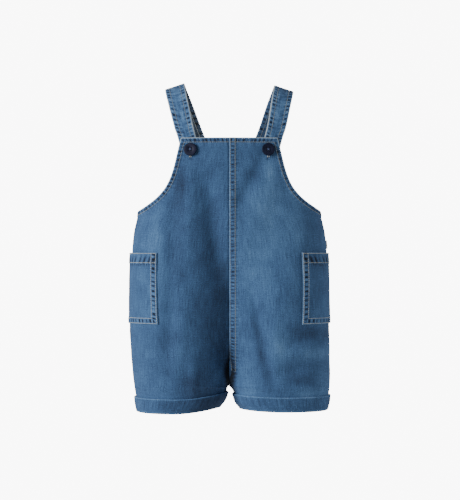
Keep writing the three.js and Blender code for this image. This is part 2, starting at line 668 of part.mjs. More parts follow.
function pocket(side) {
  const drops = [POCKET.top, POCKET.top + POCKET.band, POCKET.top + POCKET.band + RISE_RAMP];
  for (let k = 1; k <= POCKET.rows; k++)
    drops.push(lerp(drops[2], POCKET.bottom, k / POCKET.rows));
  const outer = [];
  const inner = [];
  drops.forEach((drop, i) => {
    const low = (POCKET.bottom - drop) / (POCKET.bottom - POCKET.top);
    const [front, back] = ["front", "back"].map((face) => sideColumns(face, side, drop));
    const reaches = [...front, ...back.slice(0, -1).reverse().map((reach) => -reach)];
    const outerRow = [];
    const innerRow = [];
    for (const reach of reaches) {
      const edge = reach > 0 ? front[0] : back[0];
      const puff = POCKET.puff * (1 - (reach / edge) ** 2) * Math.min(1, POCKET.fill * low);
      const rise = i < 2 ? RISE : 0;
      outerRow.push(sidePlace(side, drop, reach, LAY_GAP + POCKET.cloth + puff + rise));
      innerRow.push(sidePlace(side, drop, reach, LAY_GAP + puff));
    }
    outer.push(outerRow);
    inner.push(innerRow);
  });
  return shell(outer, inner);
}

// A cuff: the turned-up hem, a ring round the leg that folds under the leg's lower edge. Each point
// of its profile is set out from a row of the leg; below says how far it lies under the hem itself.
function cuff(side) {
  const [top, middle, hem] = cuffRows(side);
  const full = LAY_GAP + CUFF.cloth;
  const edge = { centre: top.centre - CUFF.round, side: top.side - CUFF.round };
  const profile = [
    { row: hem, below: SEAM_GAP, lift: LAY_GAP },
    { row: hem, below: 0, lift: LAY_GAP },
    { row: middle, lift: LAY_GAP },
    { row: top, lift: LAY_GAP },
    { row: edge, lift: LAY_GAP + CUFF.cloth / 2 },
    { row: top, lift: full },
    { row: middle, lift: full + CUFF.flare },
    { row: hem, below: 0, lift: full + 0.1 },
    { row: hem, below: SEAM_GAP + CUFF.lip * 0.7, lift: full - 0.6 },
    { row: hem, below: SEAM_GAP + CUFF.lip, lift: LAY_GAP },
    { row: hem, below: SEAM_GAP + CUFF.lip, lift: CUFF.round - CLOTH },
    { row: hem, below: SEAM_GAP + CUFF.lip / 2, lift: -CLOTH },
    { row: hem, below: SEAM_GAP, lift: CUFF.round - CLOTH },
  ];
  const last = COLUMNS - 1;
  const place = (point, face, j) => {
    const drop = dropAt(point.row, j);
    const found = lifted(face, side, drop, columnLengths(face, side, drop)[j], point.lift);
    if (point.below !== undefined) found.z = -drop - point.below;
    if (j === 0 || j === last) found.y = 0;
    return found;
  };
  const rings = profile.map((point) => {
    const front = Array.from({ length: last + 1 }, (_, j) => place(point, "front", j));
    const back = Array.from({ length: last - 1 }, (_, k) => place(point, "back", last - 1 - k));
    return [...front, ...back];
  });
  const around = rings[0].length;
  return tube(Array.from({ length: around }, (_, k) => rings.map((ring) => ring[k])));
}

// A closed mesh from closed loops of points that follow each other round a ring
function tube(loops) {
  const around = loops.length;
  const size = loops[0].length;
  const points = loops.flat();
  const index = (k, n) => (k % around) * size + (n % size);
  const faces = [];
  for (let k = 0; k < around; k++)
    for (let n = 0; n < size; n++) {
      const [a, b] = [index(k, n), index(k + 1, n)];
      const [c, d] = [index(k + 1, n + 1), index(k, n + 1)];
      faces.push(a, b, c, a, c, d);
    }
  if (volume(points, faces) < 0) faces.reverse();
  const positions = new Float32Array(points.flatMap((p) => [p.x, p.y, p.z]));
  return new THREE.BufferGeometry()
    .setAttribute("position", new THREE.BufferAttribute(positions, 3))
    .setIndex(faces);
}

// A four-hole button with a rounded rim and a dished middle, on its stem of wound thread
function button(side) {
  const { radius, thick, well, wellDepth } = BUTTON;
  const profile = [
    [0, 0],
    [radius - 1.4, 0],
    [radius - 0.3, thick * 0.25],
    [radius, thick * 0.55],
    [radius - 0.35, thick * 0.86],
    [radius - 1.2, thick],
    [well + 1.1, thick * 0.93],
    [well, thick * 0.88],
    [well - 0.8, thick - wellDepth],
    [0, thick - wellDepth],
  ].map(([r, h]) => new THREE.Vector2(r, h));
  const upright = (geometry) => geometry.rotateX(Math.PI / 2);
  let body = solidOf(upright(new THREE.LatheGeometry(profile, BUTTON_SIDES)));
  for (const [i, j] of [[1, 1], [1, -1], [-1, 1], [-1, -1]]) {
    const { radius: hole, offset, sides } = BUTTON_HOLES;
    const drill = upright(new THREE.CylinderGeometry(hole, hole, 4 * thick, sides));
    body = body.subtract(solidOf(drill.translate(i * offset, j * offset, 0)));
  }
  const stemLength = RISE + LAY_GAP + CLOTH;
  const stem = upright(new THREE.CylinderGeometry(STEM_RADIUS, STEM_RADIUS, stemLength + 0.5, 12));
  body = body.add(solidOf(stem.translate(0, 0, 0.5 - (stemLength + 0.5) / 2)));
  return geometryOf(body).applyMatrix4(seatFrame(buttonSeat(side), RISE + LAY_GAP));
}

// The woven label: a strip caught in the side seam of the wearer's left, lying back over the hip
function label() {
  const outer = [];
  const inner = [];
  for (const part of [0, 0.5, 1]) {
    const drop = LABEL.top + part * LABEL.height;
    const path = [
      { reach: 2.4, lift: LAY_GAP },
      { reach: 0, lift: LABEL.out - LABEL.thick },
      { reach: -LABEL.back / 2, lift: LABEL.out - LABEL.thick },
      { reach: -LABEL.back, lift: LAY_GAP + 0.3 },
    ];
    outer.push(path.map((p) => sidePlace(1, drop, p.reach, p.lift + LABEL.thick)));
    inner.push(path.map((p) => sidePlace(1, drop, p.reach, p.lift)));
  }
  return shell(outer, inner);
}

const shortalls = new THREE.Group();
for (const [word, side] of [["left", 1], ["right", -1]]) {
  shortalls.add(finish(`front_${word}`, frontPanel(side), DENIM));
  shortalls.add(finish(`back_${word}`, panel("back", side, side > 0), DENIM));
  shortalls.add(finish(`strap_${word}`, strap(side), DENIM));
  shortalls.add(finish(`pocket_${word}`, pocket(side), DENIM));
  shortalls.add(finish(`cuff_${word}`, cuff(side), DENIM_DARK));
  shortalls.add(finish(`button_${word}`, button(side), NAVY_PLASTIC));
}
shortalls.add(finish("side_label", label(), TAPE));

export default shortalls;
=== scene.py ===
# %% [markdown]
# # Baby shortalls in washed denim
#
# A pair of shortalls is a bib and a back, two short legs, two straps that button behind the bib, and
# two patch pockets on the sides. Here it is filled out as if worn, and hollow. The measured model
# gives every size and place. This lesson dresses it: each flat piece of cloth becomes a fine sheet
# that follows the same body form, and gets its folds, seams, puckers, stitches and worn dye.

# %% Load the measured model
import math

import bpy
import numpy as np
from mathutils import Matrix, Vector


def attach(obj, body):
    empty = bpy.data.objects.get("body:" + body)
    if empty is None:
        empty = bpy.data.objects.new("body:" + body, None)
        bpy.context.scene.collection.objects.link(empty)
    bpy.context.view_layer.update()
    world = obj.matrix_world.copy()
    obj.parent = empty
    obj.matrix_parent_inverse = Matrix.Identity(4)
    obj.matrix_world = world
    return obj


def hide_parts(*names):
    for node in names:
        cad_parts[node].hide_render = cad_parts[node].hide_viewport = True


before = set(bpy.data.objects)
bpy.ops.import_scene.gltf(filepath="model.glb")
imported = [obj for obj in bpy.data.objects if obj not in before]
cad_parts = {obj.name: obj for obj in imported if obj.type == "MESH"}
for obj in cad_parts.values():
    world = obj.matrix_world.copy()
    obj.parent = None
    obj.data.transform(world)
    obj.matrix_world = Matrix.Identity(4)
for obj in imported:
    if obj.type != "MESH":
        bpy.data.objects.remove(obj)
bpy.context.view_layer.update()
bpy.ops.object.select_all(action="DESELECT")
print("measured pieces:", sorted(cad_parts))

# %% [markdown]
# ## The camera
#
# The photograph looks straight at the front from about 1.9 m away. One pixel is 1.25 mm on the plane
# of the side seams, so the lens follows from the distance and from the width that 500 pixels cover.

# %% Camera
MM = 0.001
PHOTO_HEIGHT = 500
MM_PER_PIXEL = 1.25
CAMERA_AWAY = 1900.0
CAMERA_HEIGHT = -202.5
CAMERA_ACROSS = 0.9
SENSOR = 36.0

camera_data = bpy.data.cameras.new("camera")
camera_data.sensor_width = SENSOR
camera_data.lens = SENSOR * CAMERA_AWAY / (PHOTO_HEIGHT * MM_PER_PIXEL)
camera = bpy.data.objects.new("camera", camera_data)
camera.location = (CAMERA_ACROSS * MM, -CAMERA_AWAY * MM, CAMERA_HEIGHT * MM)
camera.rotation_euler = (math.radians(90), 0, 0)
bpy.context.scene.collection.objects.link(camera)
bpy.context.scene.camera = camera
print("lens", round(camera_data.lens, 2), "mm")

# %% [markdown]
# ## The sizes of the cut
#
# These are the sizes that the measured model was built from, in millimetres. Heights are drops below
# the shoulders. 1 stands for the wearer's left and -1 for the right. Each row of the body table gives
# the half width and the depths at one drop, how far the section is parted into two lobes, and how far
# it sways to the wearer's left. The wearer's left inseam stands a little further out than the right.

# %% Sizes of the cut
CLOTH = 1.1
TURNED_EDGE = 6.3
FELL = 7.2
RISE = 0.7
NECK_DROP = 65.0
NECK_HALF = 59.0
BACK_DROP = 80.0
BACK_HALF = 57.0
ARMPIT_DROP = 154.4
ARMPIT_HALF = 113.7
CROTCH_DROP = 371.4
CROTCH_SWEEP = 72.0
HEM_DROP = {1: 399.0, -1: 401.2}
INSEAM_LIFT = {1: 1.8, -1: 5.6}
ROUNDNESS = 0.92
# Between which shares of its length a leg's row turns from the inseam's height to the side's
HEM_TURN = (0.1, 0.52)
HIP_DROP = 257.0
LAY_GAP = 0.4
BUTTON_X = 47.4
BUTTON_DROP = 79.8
SIDES = {"left": 1, "right": -1}

# drop, half width, front depth, back depth, lobes, sway
BODY = np.array([
    (40, 104, 42, 40, 0, 0),
    (65, 107, 46, 44, 0, 0),
    (100, 110.5, 50, 50, 0.01, 0),
    (154, 113.7, 53, 54, 0.05, 0),
    (182, 119.4, 56, 58, 0.09, 0),
    (212, 121.8, 58, 61, 0.13, 0),
    (HIP_DROP, 123.6, 59, 64, 0.18, 0),
    (302, 124.6, 58, 63, 0.23, 0.4),
    (340, 123.8, 55, 60, 0.28, 1.9),
    (372, 122, 50, 54, 0.3, 3.4),
    (402, 117.4, 46, 48, 0.3, 3.8),
])
WIDTH, FRONT, BACK, LOBES, SWAY = 1, 2, 3, 4, 5
# drop, distance of the inseam from the centre line
INSEAM = np.array([
    (371.4, 0),
    (373, 1.5),
    (376, 2.7),
    (380, 3.5),
    (388, 7.2),
    (396, 13),
    (402, 18),
])
INSEAM_SHIFT = {1: 2.0, -1: 0.0}
SHIFT_STARTS = (CROTCH_DROP, 379)
SHIFT_ENDS = (384, 394)
print("body rows", len(BODY), "inseam rows", len(INSEAM))

# %% [markdown]
# ## The folds
#
# Filled cloth hangs in soft ridges and troughs. Each row of the tables is one of them: where it
# starts and ends as seen from that face (x across, drop down), how far it spreads, and how far it
# rises, or sinks where the number is below 0. The hidden back gets similar ones. A cloth simulation
# would make folds of its own, so a table is used here, which keeps each fold where it was seen.

# %% Tables of folds
# x1, drop1, x2, drop2, reach, rise
FOLDS = {
    "front": np.array([
        (-84, 150, -86, 300, 15, 1.8),
        (-69, 140, -76, 350, 8, -1.8),
        (-47, 110, -50, 220, 9, 2.4),
        (-52, 250, -64, 375, 10, 2.0),
        (-26, 118, -12, 240, 14, -7.0),
        (-24, 200, -20, 345, 36, -4.0),
        (-45, 335, -43, 385, 8, 2.4),
        (40, 92, 12, 150, 8, -2.6),
        (54, 110, 22, 195, 14, 2.6),
        (26, 245, 42, 330, 7, -2.4),
        (42, 330, 55, 372, 6, -1.8),
        (55, 260, 57, 360, 10, 2.4),
        (82, 170, 80, 300, 32, 6.0),
        (70, 312, 100, 312, 9, -3.0),
        (78, 330, 104, 324, 7, 1.6),
        (68, 352, 96, 346, 7, -2.6),
    ], float),
    "back": np.array([
        (-66, 130, -60, 260, 12, 2.0),
        (-34, 120, -24, 330, 12, -3.4),
        (30, 110, 20, 320, 13, -3.6),
        (62, 140, 58, 250, 12, 2.2),
        (52, 290, 60, 370, 9, 2.0),
        (-78, 316, -46, 330, 9, -2.4),
    ], float),
}
# The valley down the centre front: it deepens between two drops and ends between two more
VALLEY_STARTS = (165, 285)
VALLEY_ENDS = (325, 373)
VALLEY_DEPTH = 13.5
VALLEY_POWER = 1.5
VALLEY_WIDTH = {1: 72.0, -1: 46.0}
# How far from the centre seam the cloth's outward direction still leans towards straight ahead
SEAM_LEAN = 26.0
# The cleft between the tops of the legs
CLEFT_STARTS = (315, 350)
CLEFT_ENDS = (355, 369)
CLEFT_DEPTH = 8.0
CLEFT_REACH = 11.0
# How much lower a fold is at its two ends, and how the folds die out near a seam
FOLD_ENDS = 0.6
FOLD_FADE = (4, 30)
print("folds", {face: len(rows) for face, rows in FOLDS.items()})

# %% [markdown]
# ## The body form
#
# A section of the filled garment is a rounded box at the chest and two leg rings at the hem. In
# between, one turns into the other, so the centre seams sweep under the body to the crotch. Every
# piece of cloth is laid on this form, with a place given as a drop and a length of cloth from the
# centre seam. Working with lengths of cloth keeps the seams, stitches and weave at a true scale.

# %% Read a table smoothly
def step(value, low, high):
    """0 below low, 1 above high, and a smooth rise between them."""
    u = np.clip((value - low) / (high - low), 0, 1)
    return u * u * (3 - 2 * u)


def read(table, column, drop):
    """Smooth value of a column at each drop, by a cubic through the rows."""
    x = table[:, 0]
    y = table[:, column]
    slope = np.gradient(y, x)
    slope[1:-1] = (y[2:] - y[:-2]) / (x[2:] - x[:-2])
    d = np.clip(drop, x[0], x[-1])
    k = np.clip(np.searchsorted(x, d, side="right") - 1, 0, len(x) - 2)
    span = x[k + 1] - x[k]
    u = (d - x[k]) / span
    start = (1 + 2 * u) * (1 - u) ** 2 * y[k] + u * (1 - u) ** 2 * span * slope[k]
    end = u * u * (3 - 2 * u) * y[k + 1] + u * u * (u - 1) * span * slope[k + 1]
    return start + end


print("half width at the hip", round(float(read(BODY, WIDTH, HIP_DROP)), 1), "mm")

# %% One point of a section
def soften(value):
    """Makes a round section a little boxier."""
    return np.sign(value) * np.abs(value) ** ROUNDNESS


def section_point(face, side, drop, t):
    """x and y on one half of the garment: t is 0 at the centre seam or inseam, 1 at the side."""
    width = read(BODY, WIDTH, drop) + side * read(BODY, SWAY, drop)
    depth = read(BODY, FRONT if face == "front" else BACK, drop)
    shift = INSEAM_SHIFT[side] * step(drop, *SHIFT_STARTS) * (1 - step(drop, *SHIFT_ENDS))
    inseam = np.where(drop > CROTCH_DROP, read(INSEAM, 1, drop) + shift, 0)
    lobes = read(BODY, LOBES, drop)
    q = np.clip((drop - CROTCH_DROP + CROTCH_SWEEP) / CROTCH_SWEEP, 0, 1)
    part = 1 - (1 - lobes) * np.sqrt(1 - q * q)
    angle = t * math.pi / 2
    torso_x = width * soften(np.sin(angle))
    torso_y = depth * soften(np.cos(angle))
    radius = (width - inseam) / 2
    leg_x = inseam + radius * (1 - soften(np.cos(2 * angle)))
    leg_y = depth * soften(np.sin(2 * angle))
    x = torso_x + (leg_x - torso_x) * part
    y = torso_y + (leg_y - torso_y) * part
    return x, -y if face == "front" else y


print("side of the hip", np.round(section_point("front", 1, np.array(HIP_DROP), 1.0), 1))

# %% Lengths of cloth
SWEEP_STEPS = np.sin(np.linspace(0, math.pi / 2, 220))
DROPS = np.concatenate([
    np.arange(40, CROTCH_DROP - CROTCH_SWEEP, 1.0),
    CROTCH_DROP - CROTCH_SWEEP + CROTCH_SWEEP * SWEEP_STEPS,
    np.arange(CROTCH_DROP + 0.25, 406, 0.25),
])
SHARES = np.linspace(0, 1, 481)


def measure_sections(face, side):
    """For each drop, the length of its section, and t at even shares of that length."""
    t = np.linspace(0, 1, 721)
    x, y = section_point(face, side, DROPS[:, None], t[None, :])
    steps = np.hypot(np.diff(x, axis=1), np.diff(y, axis=1))
    lengths = np.concatenate([np.zeros((len(DROPS), 1)), np.cumsum(steps, axis=1)], axis=1)
    totals = lengths[:, -1]
    shares = [np.interp(SHARES, line / line[-1], t) for line in lengths]
    return totals, np.array(shares)


MEASURED = {(face, side): measure_sections(face, side) for face in ("front", "back") for side in (1, -1)}


def total_length(face, side, drop):
    """Length of cloth from the centre seam to the side seam."""
    return np.interp(drop, DROPS, MEASURED[face, side][0])


def t_at(face, side, drop, length):
    """Where on the section a length of cloth from the centre seam comes out."""
    shares = MEASURED[face, side][1]
    k = np.clip(np.searchsorted(DROPS, drop, side="right") - 1, 0, len(DROPS) - 2)
    u = np.clip((drop - DROPS[k]) / (DROPS[k + 1] - DROPS[k]), 0, 1)
    m = np.clip(length / total_length(face, side, drop), 0, 1) * (len(SHARES) - 1)
    n = np.minimum(m.astype(int), len(SHARES) - 2)
    w = m - n
    upper = shares[k, n] * (1 - w) + shares[k, n + 1] * w
    lower = shares[k + 1, n] * (1 - w) + shares[k + 1, n + 1] * w
    return upper * (1 - u) + lower * u


def length_at_x(face, side, drop, x):
    """Length of cloth from the centre seam to where the section is x wide."""
    low = np.zeros_like(drop, dtype=float)
    high = np.ones_like(low)
    for _ in range(24):
        middle = (low + high) / 2
        inside = section_point(face, side, drop, middle)[0] < x
        low = np.where(inside, middle, low)
        high = np.where(inside, high, middle)
    t = np.linspace(0, 1, 161)
    reach_x, reach_y = section_point(face, side, drop[:, None], t[None, :] * low[:, None])
    return np.hypot(np.diff(reach_x, axis=1), np.diff(reach_y, axis=1)).sum(axis=1)


print("round the hip", round(sum(total_length(face, side, HIP_DROP) for face, side in MEASURED)), "mm")

# %% [markdown]
# The outward direction at a place is needed for everything that lies on the cloth. It comes from two
# small steps on the form, one across and one down. On a seam it stays in the plane of the seam, so
# that the pieces on both sides move together.

# %% A place on the cloth
TINY = 1e-6


def leg_share(drop):
    """0 on the body, 1 from just above the crotch down."""
    return step(drop, CROTCH_DROP - 30, CROTCH_DROP - 3)


def form(face, side, drop, length):
    """Points and outward directions of the bare form."""
    t = t_at(face, side, drop, length)
    x, y = section_point(face, side, drop, t)
    small_turn, small_drop = 0.004, 0.4
    right = section_point(face, side, drop, np.minimum(t + small_turn, 1))
    left = section_point(face, side, drop, np.maximum(t - small_turn, 0))
    below = section_point(face, side, drop + small_drop, t)
    above = section_point(face, side, drop - small_drop, t)
    across = np.stack([right[0] - left[0], right[1] - left[1], np.zeros_like(x)], -1)
    down = np.stack([below[0] - above[0], below[1] - above[1], np.full_like(x, -2 * small_drop)], -1)
    normal = np.cross(down, across) * (1 if face == "front" else -1)
    at_centre = length < TINY
    at_side_seam = t > 1 - TINY
    legs = leg_share(drop)
    lean = step(length, 0, SEAM_LEAN) * (1 - legs) + np.where(at_centre, 0, 1) * legs
    normal[..., 0] *= np.where(drop < CROTCH_DROP, lean, 1)
    normal[(at_centre & (drop > CROTCH_DROP)) | at_side_seam, 1] = 0
    normal[at_centre & (np.abs(drop - CROTCH_DROP) < TINY)] = (0, 0, -1)
    normal /= np.linalg.norm(normal, axis=-1, keepdims=True)
    point = np.stack([x, y, -drop], -1)
    mirror = np.array([side, 1, 1])
    return point * mirror, normal * mirror


def fold_rise(face, side, drop, length, x):
    """Height of all folds at a place."""
    rise = np.zeros_like(drop)
    for x1, drop1, x2, drop2, reach, height in FOLDS[face]:
        run = np.array([x2 - x1, drop2 - drop1])
        u = np.clip(((x - x1) * run[0] + (drop - drop1) * run[1]) / (run @ run), 0, 1)
        away = np.hypot(x - x1 - u * run[0], drop - drop1 - u * run[1])
        rise += height * (1 - FOLD_ENDS * (2 * u - 1) ** 2) * np.exp(-((away / reach) ** 2))
    side_fade = step(total_length(face, side, drop) - length, *FOLD_FADE)
    if face == "front":
        near = np.clip(1 - np.abs(x) / VALLEY_WIDTH[side], 0, 1)
        depth = VALLEY_DEPTH * step(drop, *VALLEY_STARTS) * (1 - step(drop, *VALLEY_ENDS))
        cleft = CLEFT_DEPTH * step(drop, *CLEFT_STARTS) * (1 - step(drop, *CLEFT_ENDS))
        rise = rise - depth * near**VALLEY_POWER - cleft * np.exp(-np.abs(x) / CLEFT_REACH)
    inseam_fade = 1 + (step(length, *FOLD_FADE) - 1) * leg_share(drop)
    return rise * side_fade * inseam_fade


def lay(face, side, drop, length, lift=0.0):
    """Points on the folded cloth, lifted off it, with the outward directions."""
    drop, length = np.broadcast_arrays(np.asarray(drop, float), np.asarray(length, float))
    point, normal = form(face, side, drop, length)
    rise = fold_rise(face, side, drop, length, point[..., 0]) + lift
    return point + normal * rise[..., None], normal


print("a place on the hip", np.round(lay("front", 1, np.array([HIP_DROP]), np.array([60.0]))[0], 1))

# %% [markdown]
# ## Uneven rows along a seam
#
# Washed denim shrinks more than its sewing thread, so every stitched edge puckers into small ridges.
# The ridges lose their dye and the hollows keep it. Both come from the same uneven rows, so the
# shape and the colour agree. The random numbers are seeded, so each run gives the same garment.

# %% Uneven rows and ripples
def pucker(along, spacing, seed):
    """Uneven swings between -1 and 1 along a line, about one for each spacing."""
    rng = np.random.default_rng(seed)
    knots = np.arange(-60, 1200, spacing / 2)
    values = rng.uniform(0.35, 1.0, len(knots)) * np.where(np.arange(len(knots)) % 2, 1, -1)
    knots = knots + rng.uniform(-0.2, 0.2, len(knots)) * spacing
    k = np.clip(np.searchsorted(knots, along) - 1, 0, len(knots) - 2)
    u = step((along - knots[k]) / (knots[k + 1] - knots[k]), 0, 1)
    return values[k] * (1 - u) + values[k + 1] * u


def ripple(across, down, size, seed):
    """Soft uneven cloth: smooth random hills about one size apart, between -1 and 1."""
    rng = np.random.default_rng(seed)
    hills = rng.uniform(-1, 1, (67, 71))
    i = np.floor(across / size).astype(int)
    j = np.floor(down / size).astype(int)
    u = step(across / size - i, 0, 1)
    v = step(down / size - j, 0, 1)
    a = hills[i % 67, j % 71] * (1 - u) + hills[(i + 1) % 67, j % 71] * u
    b = hills[i % 67, (j + 1) % 71] * (1 - u) + hills[(i + 1) % 67, (j + 1) % 71] * u
    return a * (1 - v) + b * v


def blots(swing, dark, pale):
    """Fade of a pucker: the hollows keep their dye in short dashes, and the ridges lose it."""
    return pale * np.clip(swing, 0, 1) - dark * step(-swing, 0.1, 0.6)


print("pucker sample", np.round(pucker(np.arange(5.0), 4.4, 1), 2))

# %% [markdown]
# ## A sheet from rows of points
#
# Each piece of cloth is a grid of points on its outer face and another on its inner face, joined
# round the rim. The helper also stores the place on the cloth as a UV map in metres, for the weave,
# how faded each point is, with painted light and shade added in places, for the dye, and how much of
# its undyed yarn shows, which on a strap also stands for painted shade. Meshes written from points
# suit cloth better than shaped primitives, because every point has a known place on it.

# %% Make a sheet of cloth
def grid_faces(rows, columns, around=False):
    """Four-sided faces between neighbouring rows and columns."""
    spans = columns if around else columns - 1
    i, j = np.meshgrid(np.arange(rows - 1), np.arange(spans), indexing="ij")
    j2 = (j + 1) % columns
    a, b = i * columns + j, i * columns + j2
    c, d = (i + 1) * columns + j2, (i + 1) * columns + j
    return np.stack([a, d, c, b], -1).reshape(-1, 4)


def rim_faces(loop, shift):
    """Faces from a loop of outer points to the inner points that lie shift further in the list."""
    after = np.roll(loop, -1)
    return np.stack([loop, after, after + shift, loop + shift], -1)


def outward(points, faces, middle=(0, 0, 0)):
    """The faces, turned round if they look towards the middle."""
    corner = points[faces]
    wedge = np.cross(corner[:, 1] - corner[:, 0], corner[:, 2] - corner[:, 0])
    wedge = wedge + np.cross(corner[:, 2] - corner[:, 0], corner[:, 3] - corner[:, 0])
    turned = (wedge * (corner.mean(axis=1) - middle)).sum() < 0
    return faces[:, ::-1] if turned else faces


print("faces of a 3 by 3 grid", len(grid_faces(3, 3)))

# %% A mesh that knows its cloth
def store(mesh, name, values):
    """One number for each point of a mesh, which a shader can read by this name."""
    attribute = mesh.attributes.new(name, "FLOAT", "POINT")
    attribute.data.foreach_set("value", np.asarray(values, np.float32))


def make_mesh(name, points, faces, uv, fade_and_painted_shade, material):
    """A smooth mesh in metres, with its cloth map and its fade, which holds painted shade in places."""
    mesh = bpy.data.meshes.new(name)
    mesh.from_pydata((points * MM).tolist(), [], faces.tolist())
    loops = np.zeros(len(mesh.loops), int)
    mesh.loops.foreach_get("vertex_index", loops)
    layer = mesh.uv_layers.new(name="cloth")
    layer.data.foreach_set("uv", (uv[loops] * MM).astype(np.float32).ravel())
    store(mesh, "fade_and_painted_shade", fade_and_painted_shade)
    mesh.polygons.foreach_set("use_smooth", np.ones(len(mesh.polygons), bool))
    mesh.materials.append(material)
    piece = bpy.data.objects.new(name, mesh)
    bpy.context.scene.collection.objects.link(piece)
    return piece


def make_sheet(name, outer, inner, uv, fade_and_painted_shade, material, wrong_side=0.0, undyed_and_shade=1.0):
    """Cloth with two faces and a closed rim, from two grids of points."""
    rows, columns = fade_and_painted_shade.shape
    count = rows * columns
    faces = grid_faces(rows, columns)
    index = np.arange(count).reshape(rows, columns)
    ring = np.concatenate([index[0], index[1:, -1], index[-1, -2::-1], index[-2:0:-1, 0]])
    points = np.concatenate([outer.reshape(-1, 3), inner.reshape(-1, 3)])
    faces = np.concatenate([faces, faces[:, ::-1] + count, rim_faces(ring, count)])
    faces = outward(points, faces)
    uv = np.concatenate([uv.reshape(-1, 2), uv.reshape(-1, 2)])
    shades = np.concatenate([fade_and_painted_shade.ravel(), np.broadcast_to(wrong_side, fade_and_painted_shade.shape).ravel()])
    piece = make_mesh(name, points, faces, uv, shades, material)
    store(piece.data, "inside", np.repeat([0.0, undyed_and_shade], count))
    return piece


def dress(piece, node):
    """The piece stands for its measured solid, which is hidden, and rides on the garment."""
    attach(piece, "root")
    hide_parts(node)
    print(piece.name, len(piece.data.polygons), "faces")


# %% [markdown]
# ## Denim
#
# Denim has indigo warp threads over a white weft. Washing wears the indigo off unevenly: along the
# warp in fine upright streaks, across in fainter ones, and in soft clouds. The fade of each piece,
# which in places also carries painted light and painted shade, is added to those, and one colour
# ramp turns the sum into deep indigo, blue or nearly white. The wrong side shows mostly weft, so its
# ramp runs from dark grey to off-white. A shader does all this without a picture, so the yarns stay
# sharp at any distance.

# %% Shader helpers
def shader(name):
    """A new material, with its node tree and its main shader."""
    material = bpy.data.materials.new(name)
    material.use_nodes = True
    tree = material.node_tree
    return material, tree, tree.nodes["Principled BSDF"]


def maths(tree, operation, first, second):
    """A Math node on two sockets or numbers."""
    node = tree.nodes.new("ShaderNodeMath")
    node.operation = operation
    for socket, value in zip(node.inputs, (first, second)):
        if isinstance(value, (int, float)):
            socket.default_value = value
        else:
            tree.links.new(value, socket)
    return node.outputs[0]


def cloth_noise(tree, vector, scale, detail, roughness=0.6):
    """Noise on stretched cloth coordinates. scale is in swings for each millimetre."""
    stretch = tree.nodes.new("ShaderNodeMapping")
    stretch.inputs["Scale"].default_value = (scale[0] * 1000, scale[1] * 1000, 1)
    tree.links.new(vector, stretch.inputs["Vector"])
    noise = tree.nodes.new("ShaderNodeTexNoise")
    noise.noise_dimensions = "2D"
    noise.inputs["Scale"].default_value = 1.0
    noise.inputs["Detail"].default_value = detail
    noise.inputs["Roughness"].default_value = roughness
    tree.links.new(stretch.outputs[0], noise.inputs["Vector"])
    return noise.outputs["Fac"]


def centred(tree, noise, strength):
    """Noise as a swing round 0."""
    return maths(tree, "MULTIPLY", maths(tree, "SUBTRACT", noise, 0.5), strength)


def colour_ramp(tree, value, stops):
    """The colour that a list of stops gives for a value."""
    ramp = tree.nodes.new("ShaderNodeValToRGB")
    while len(ramp.color_ramp.elements) < len(stops):
        ramp.color_ramp.elements.new(0.5)
    for element, (place, colour) in zip(ramp.color_ramp.elements, stops):
        element.position = place
        element.color = (*colour, 1)
    tree.links.new(value, ramp.inputs[0])
    return ramp.outputs[0]


def object_noise(tree, scale, detail=2):
    """Noise that stays with the piece."""
    coordinates = tree.nodes.new("ShaderNodeTexCoord")
    noise = tree.nodes.new("ShaderNodeTexNoise")
    noise.inputs["Scale"].default_value = scale
    noise.inputs["Detail"].default_value = detail
    tree.links.new(coordinates.outputs["Object"], noise.inputs["Vector"])
    return noise.outputs["Fac"]


def roughen(tree, surface, height, strength, distance=0.0001):
    """Fine relief in the shading, from a height."""
    bump = tree.nodes.new("ShaderNodeBump")
    bump.inputs["Strength"].default_value = strength
    bump.inputs["Distance"].default_value = distance
    tree.links.new(height, bump.inputs["Height"])
    tree.links.new(bump.outputs[0], surface.inputs["Normal"])


print("shader helpers: noise, ramp and relief")

# %% Denim shader
DYE = (
    (0.00, (0.011, 0.016, 0.028)),
    (0.28, (0.031, 0.061, 0.134)),
    (0.50, (0.063, 0.141, 0.305)),
    (0.70, (0.125, 0.268, 0.512)),
    (0.88, (0.230, 0.410, 0.670)),
    (1.00, (0.560, 0.640, 0.690)),
)
UNDYED = (
    (0.00, (0.020, 0.025, 0.029)),
    (0.50, (0.130, 0.165, 0.200)),
    (1.00, (0.500, 0.520, 0.500)),
)

# Sockets of a Mix node that mixes colours: the share, the two colours and the result
MIX_SHARE, MIX_FIRST, MIX_SECOND, MIXED = 0, 6, 7, 2


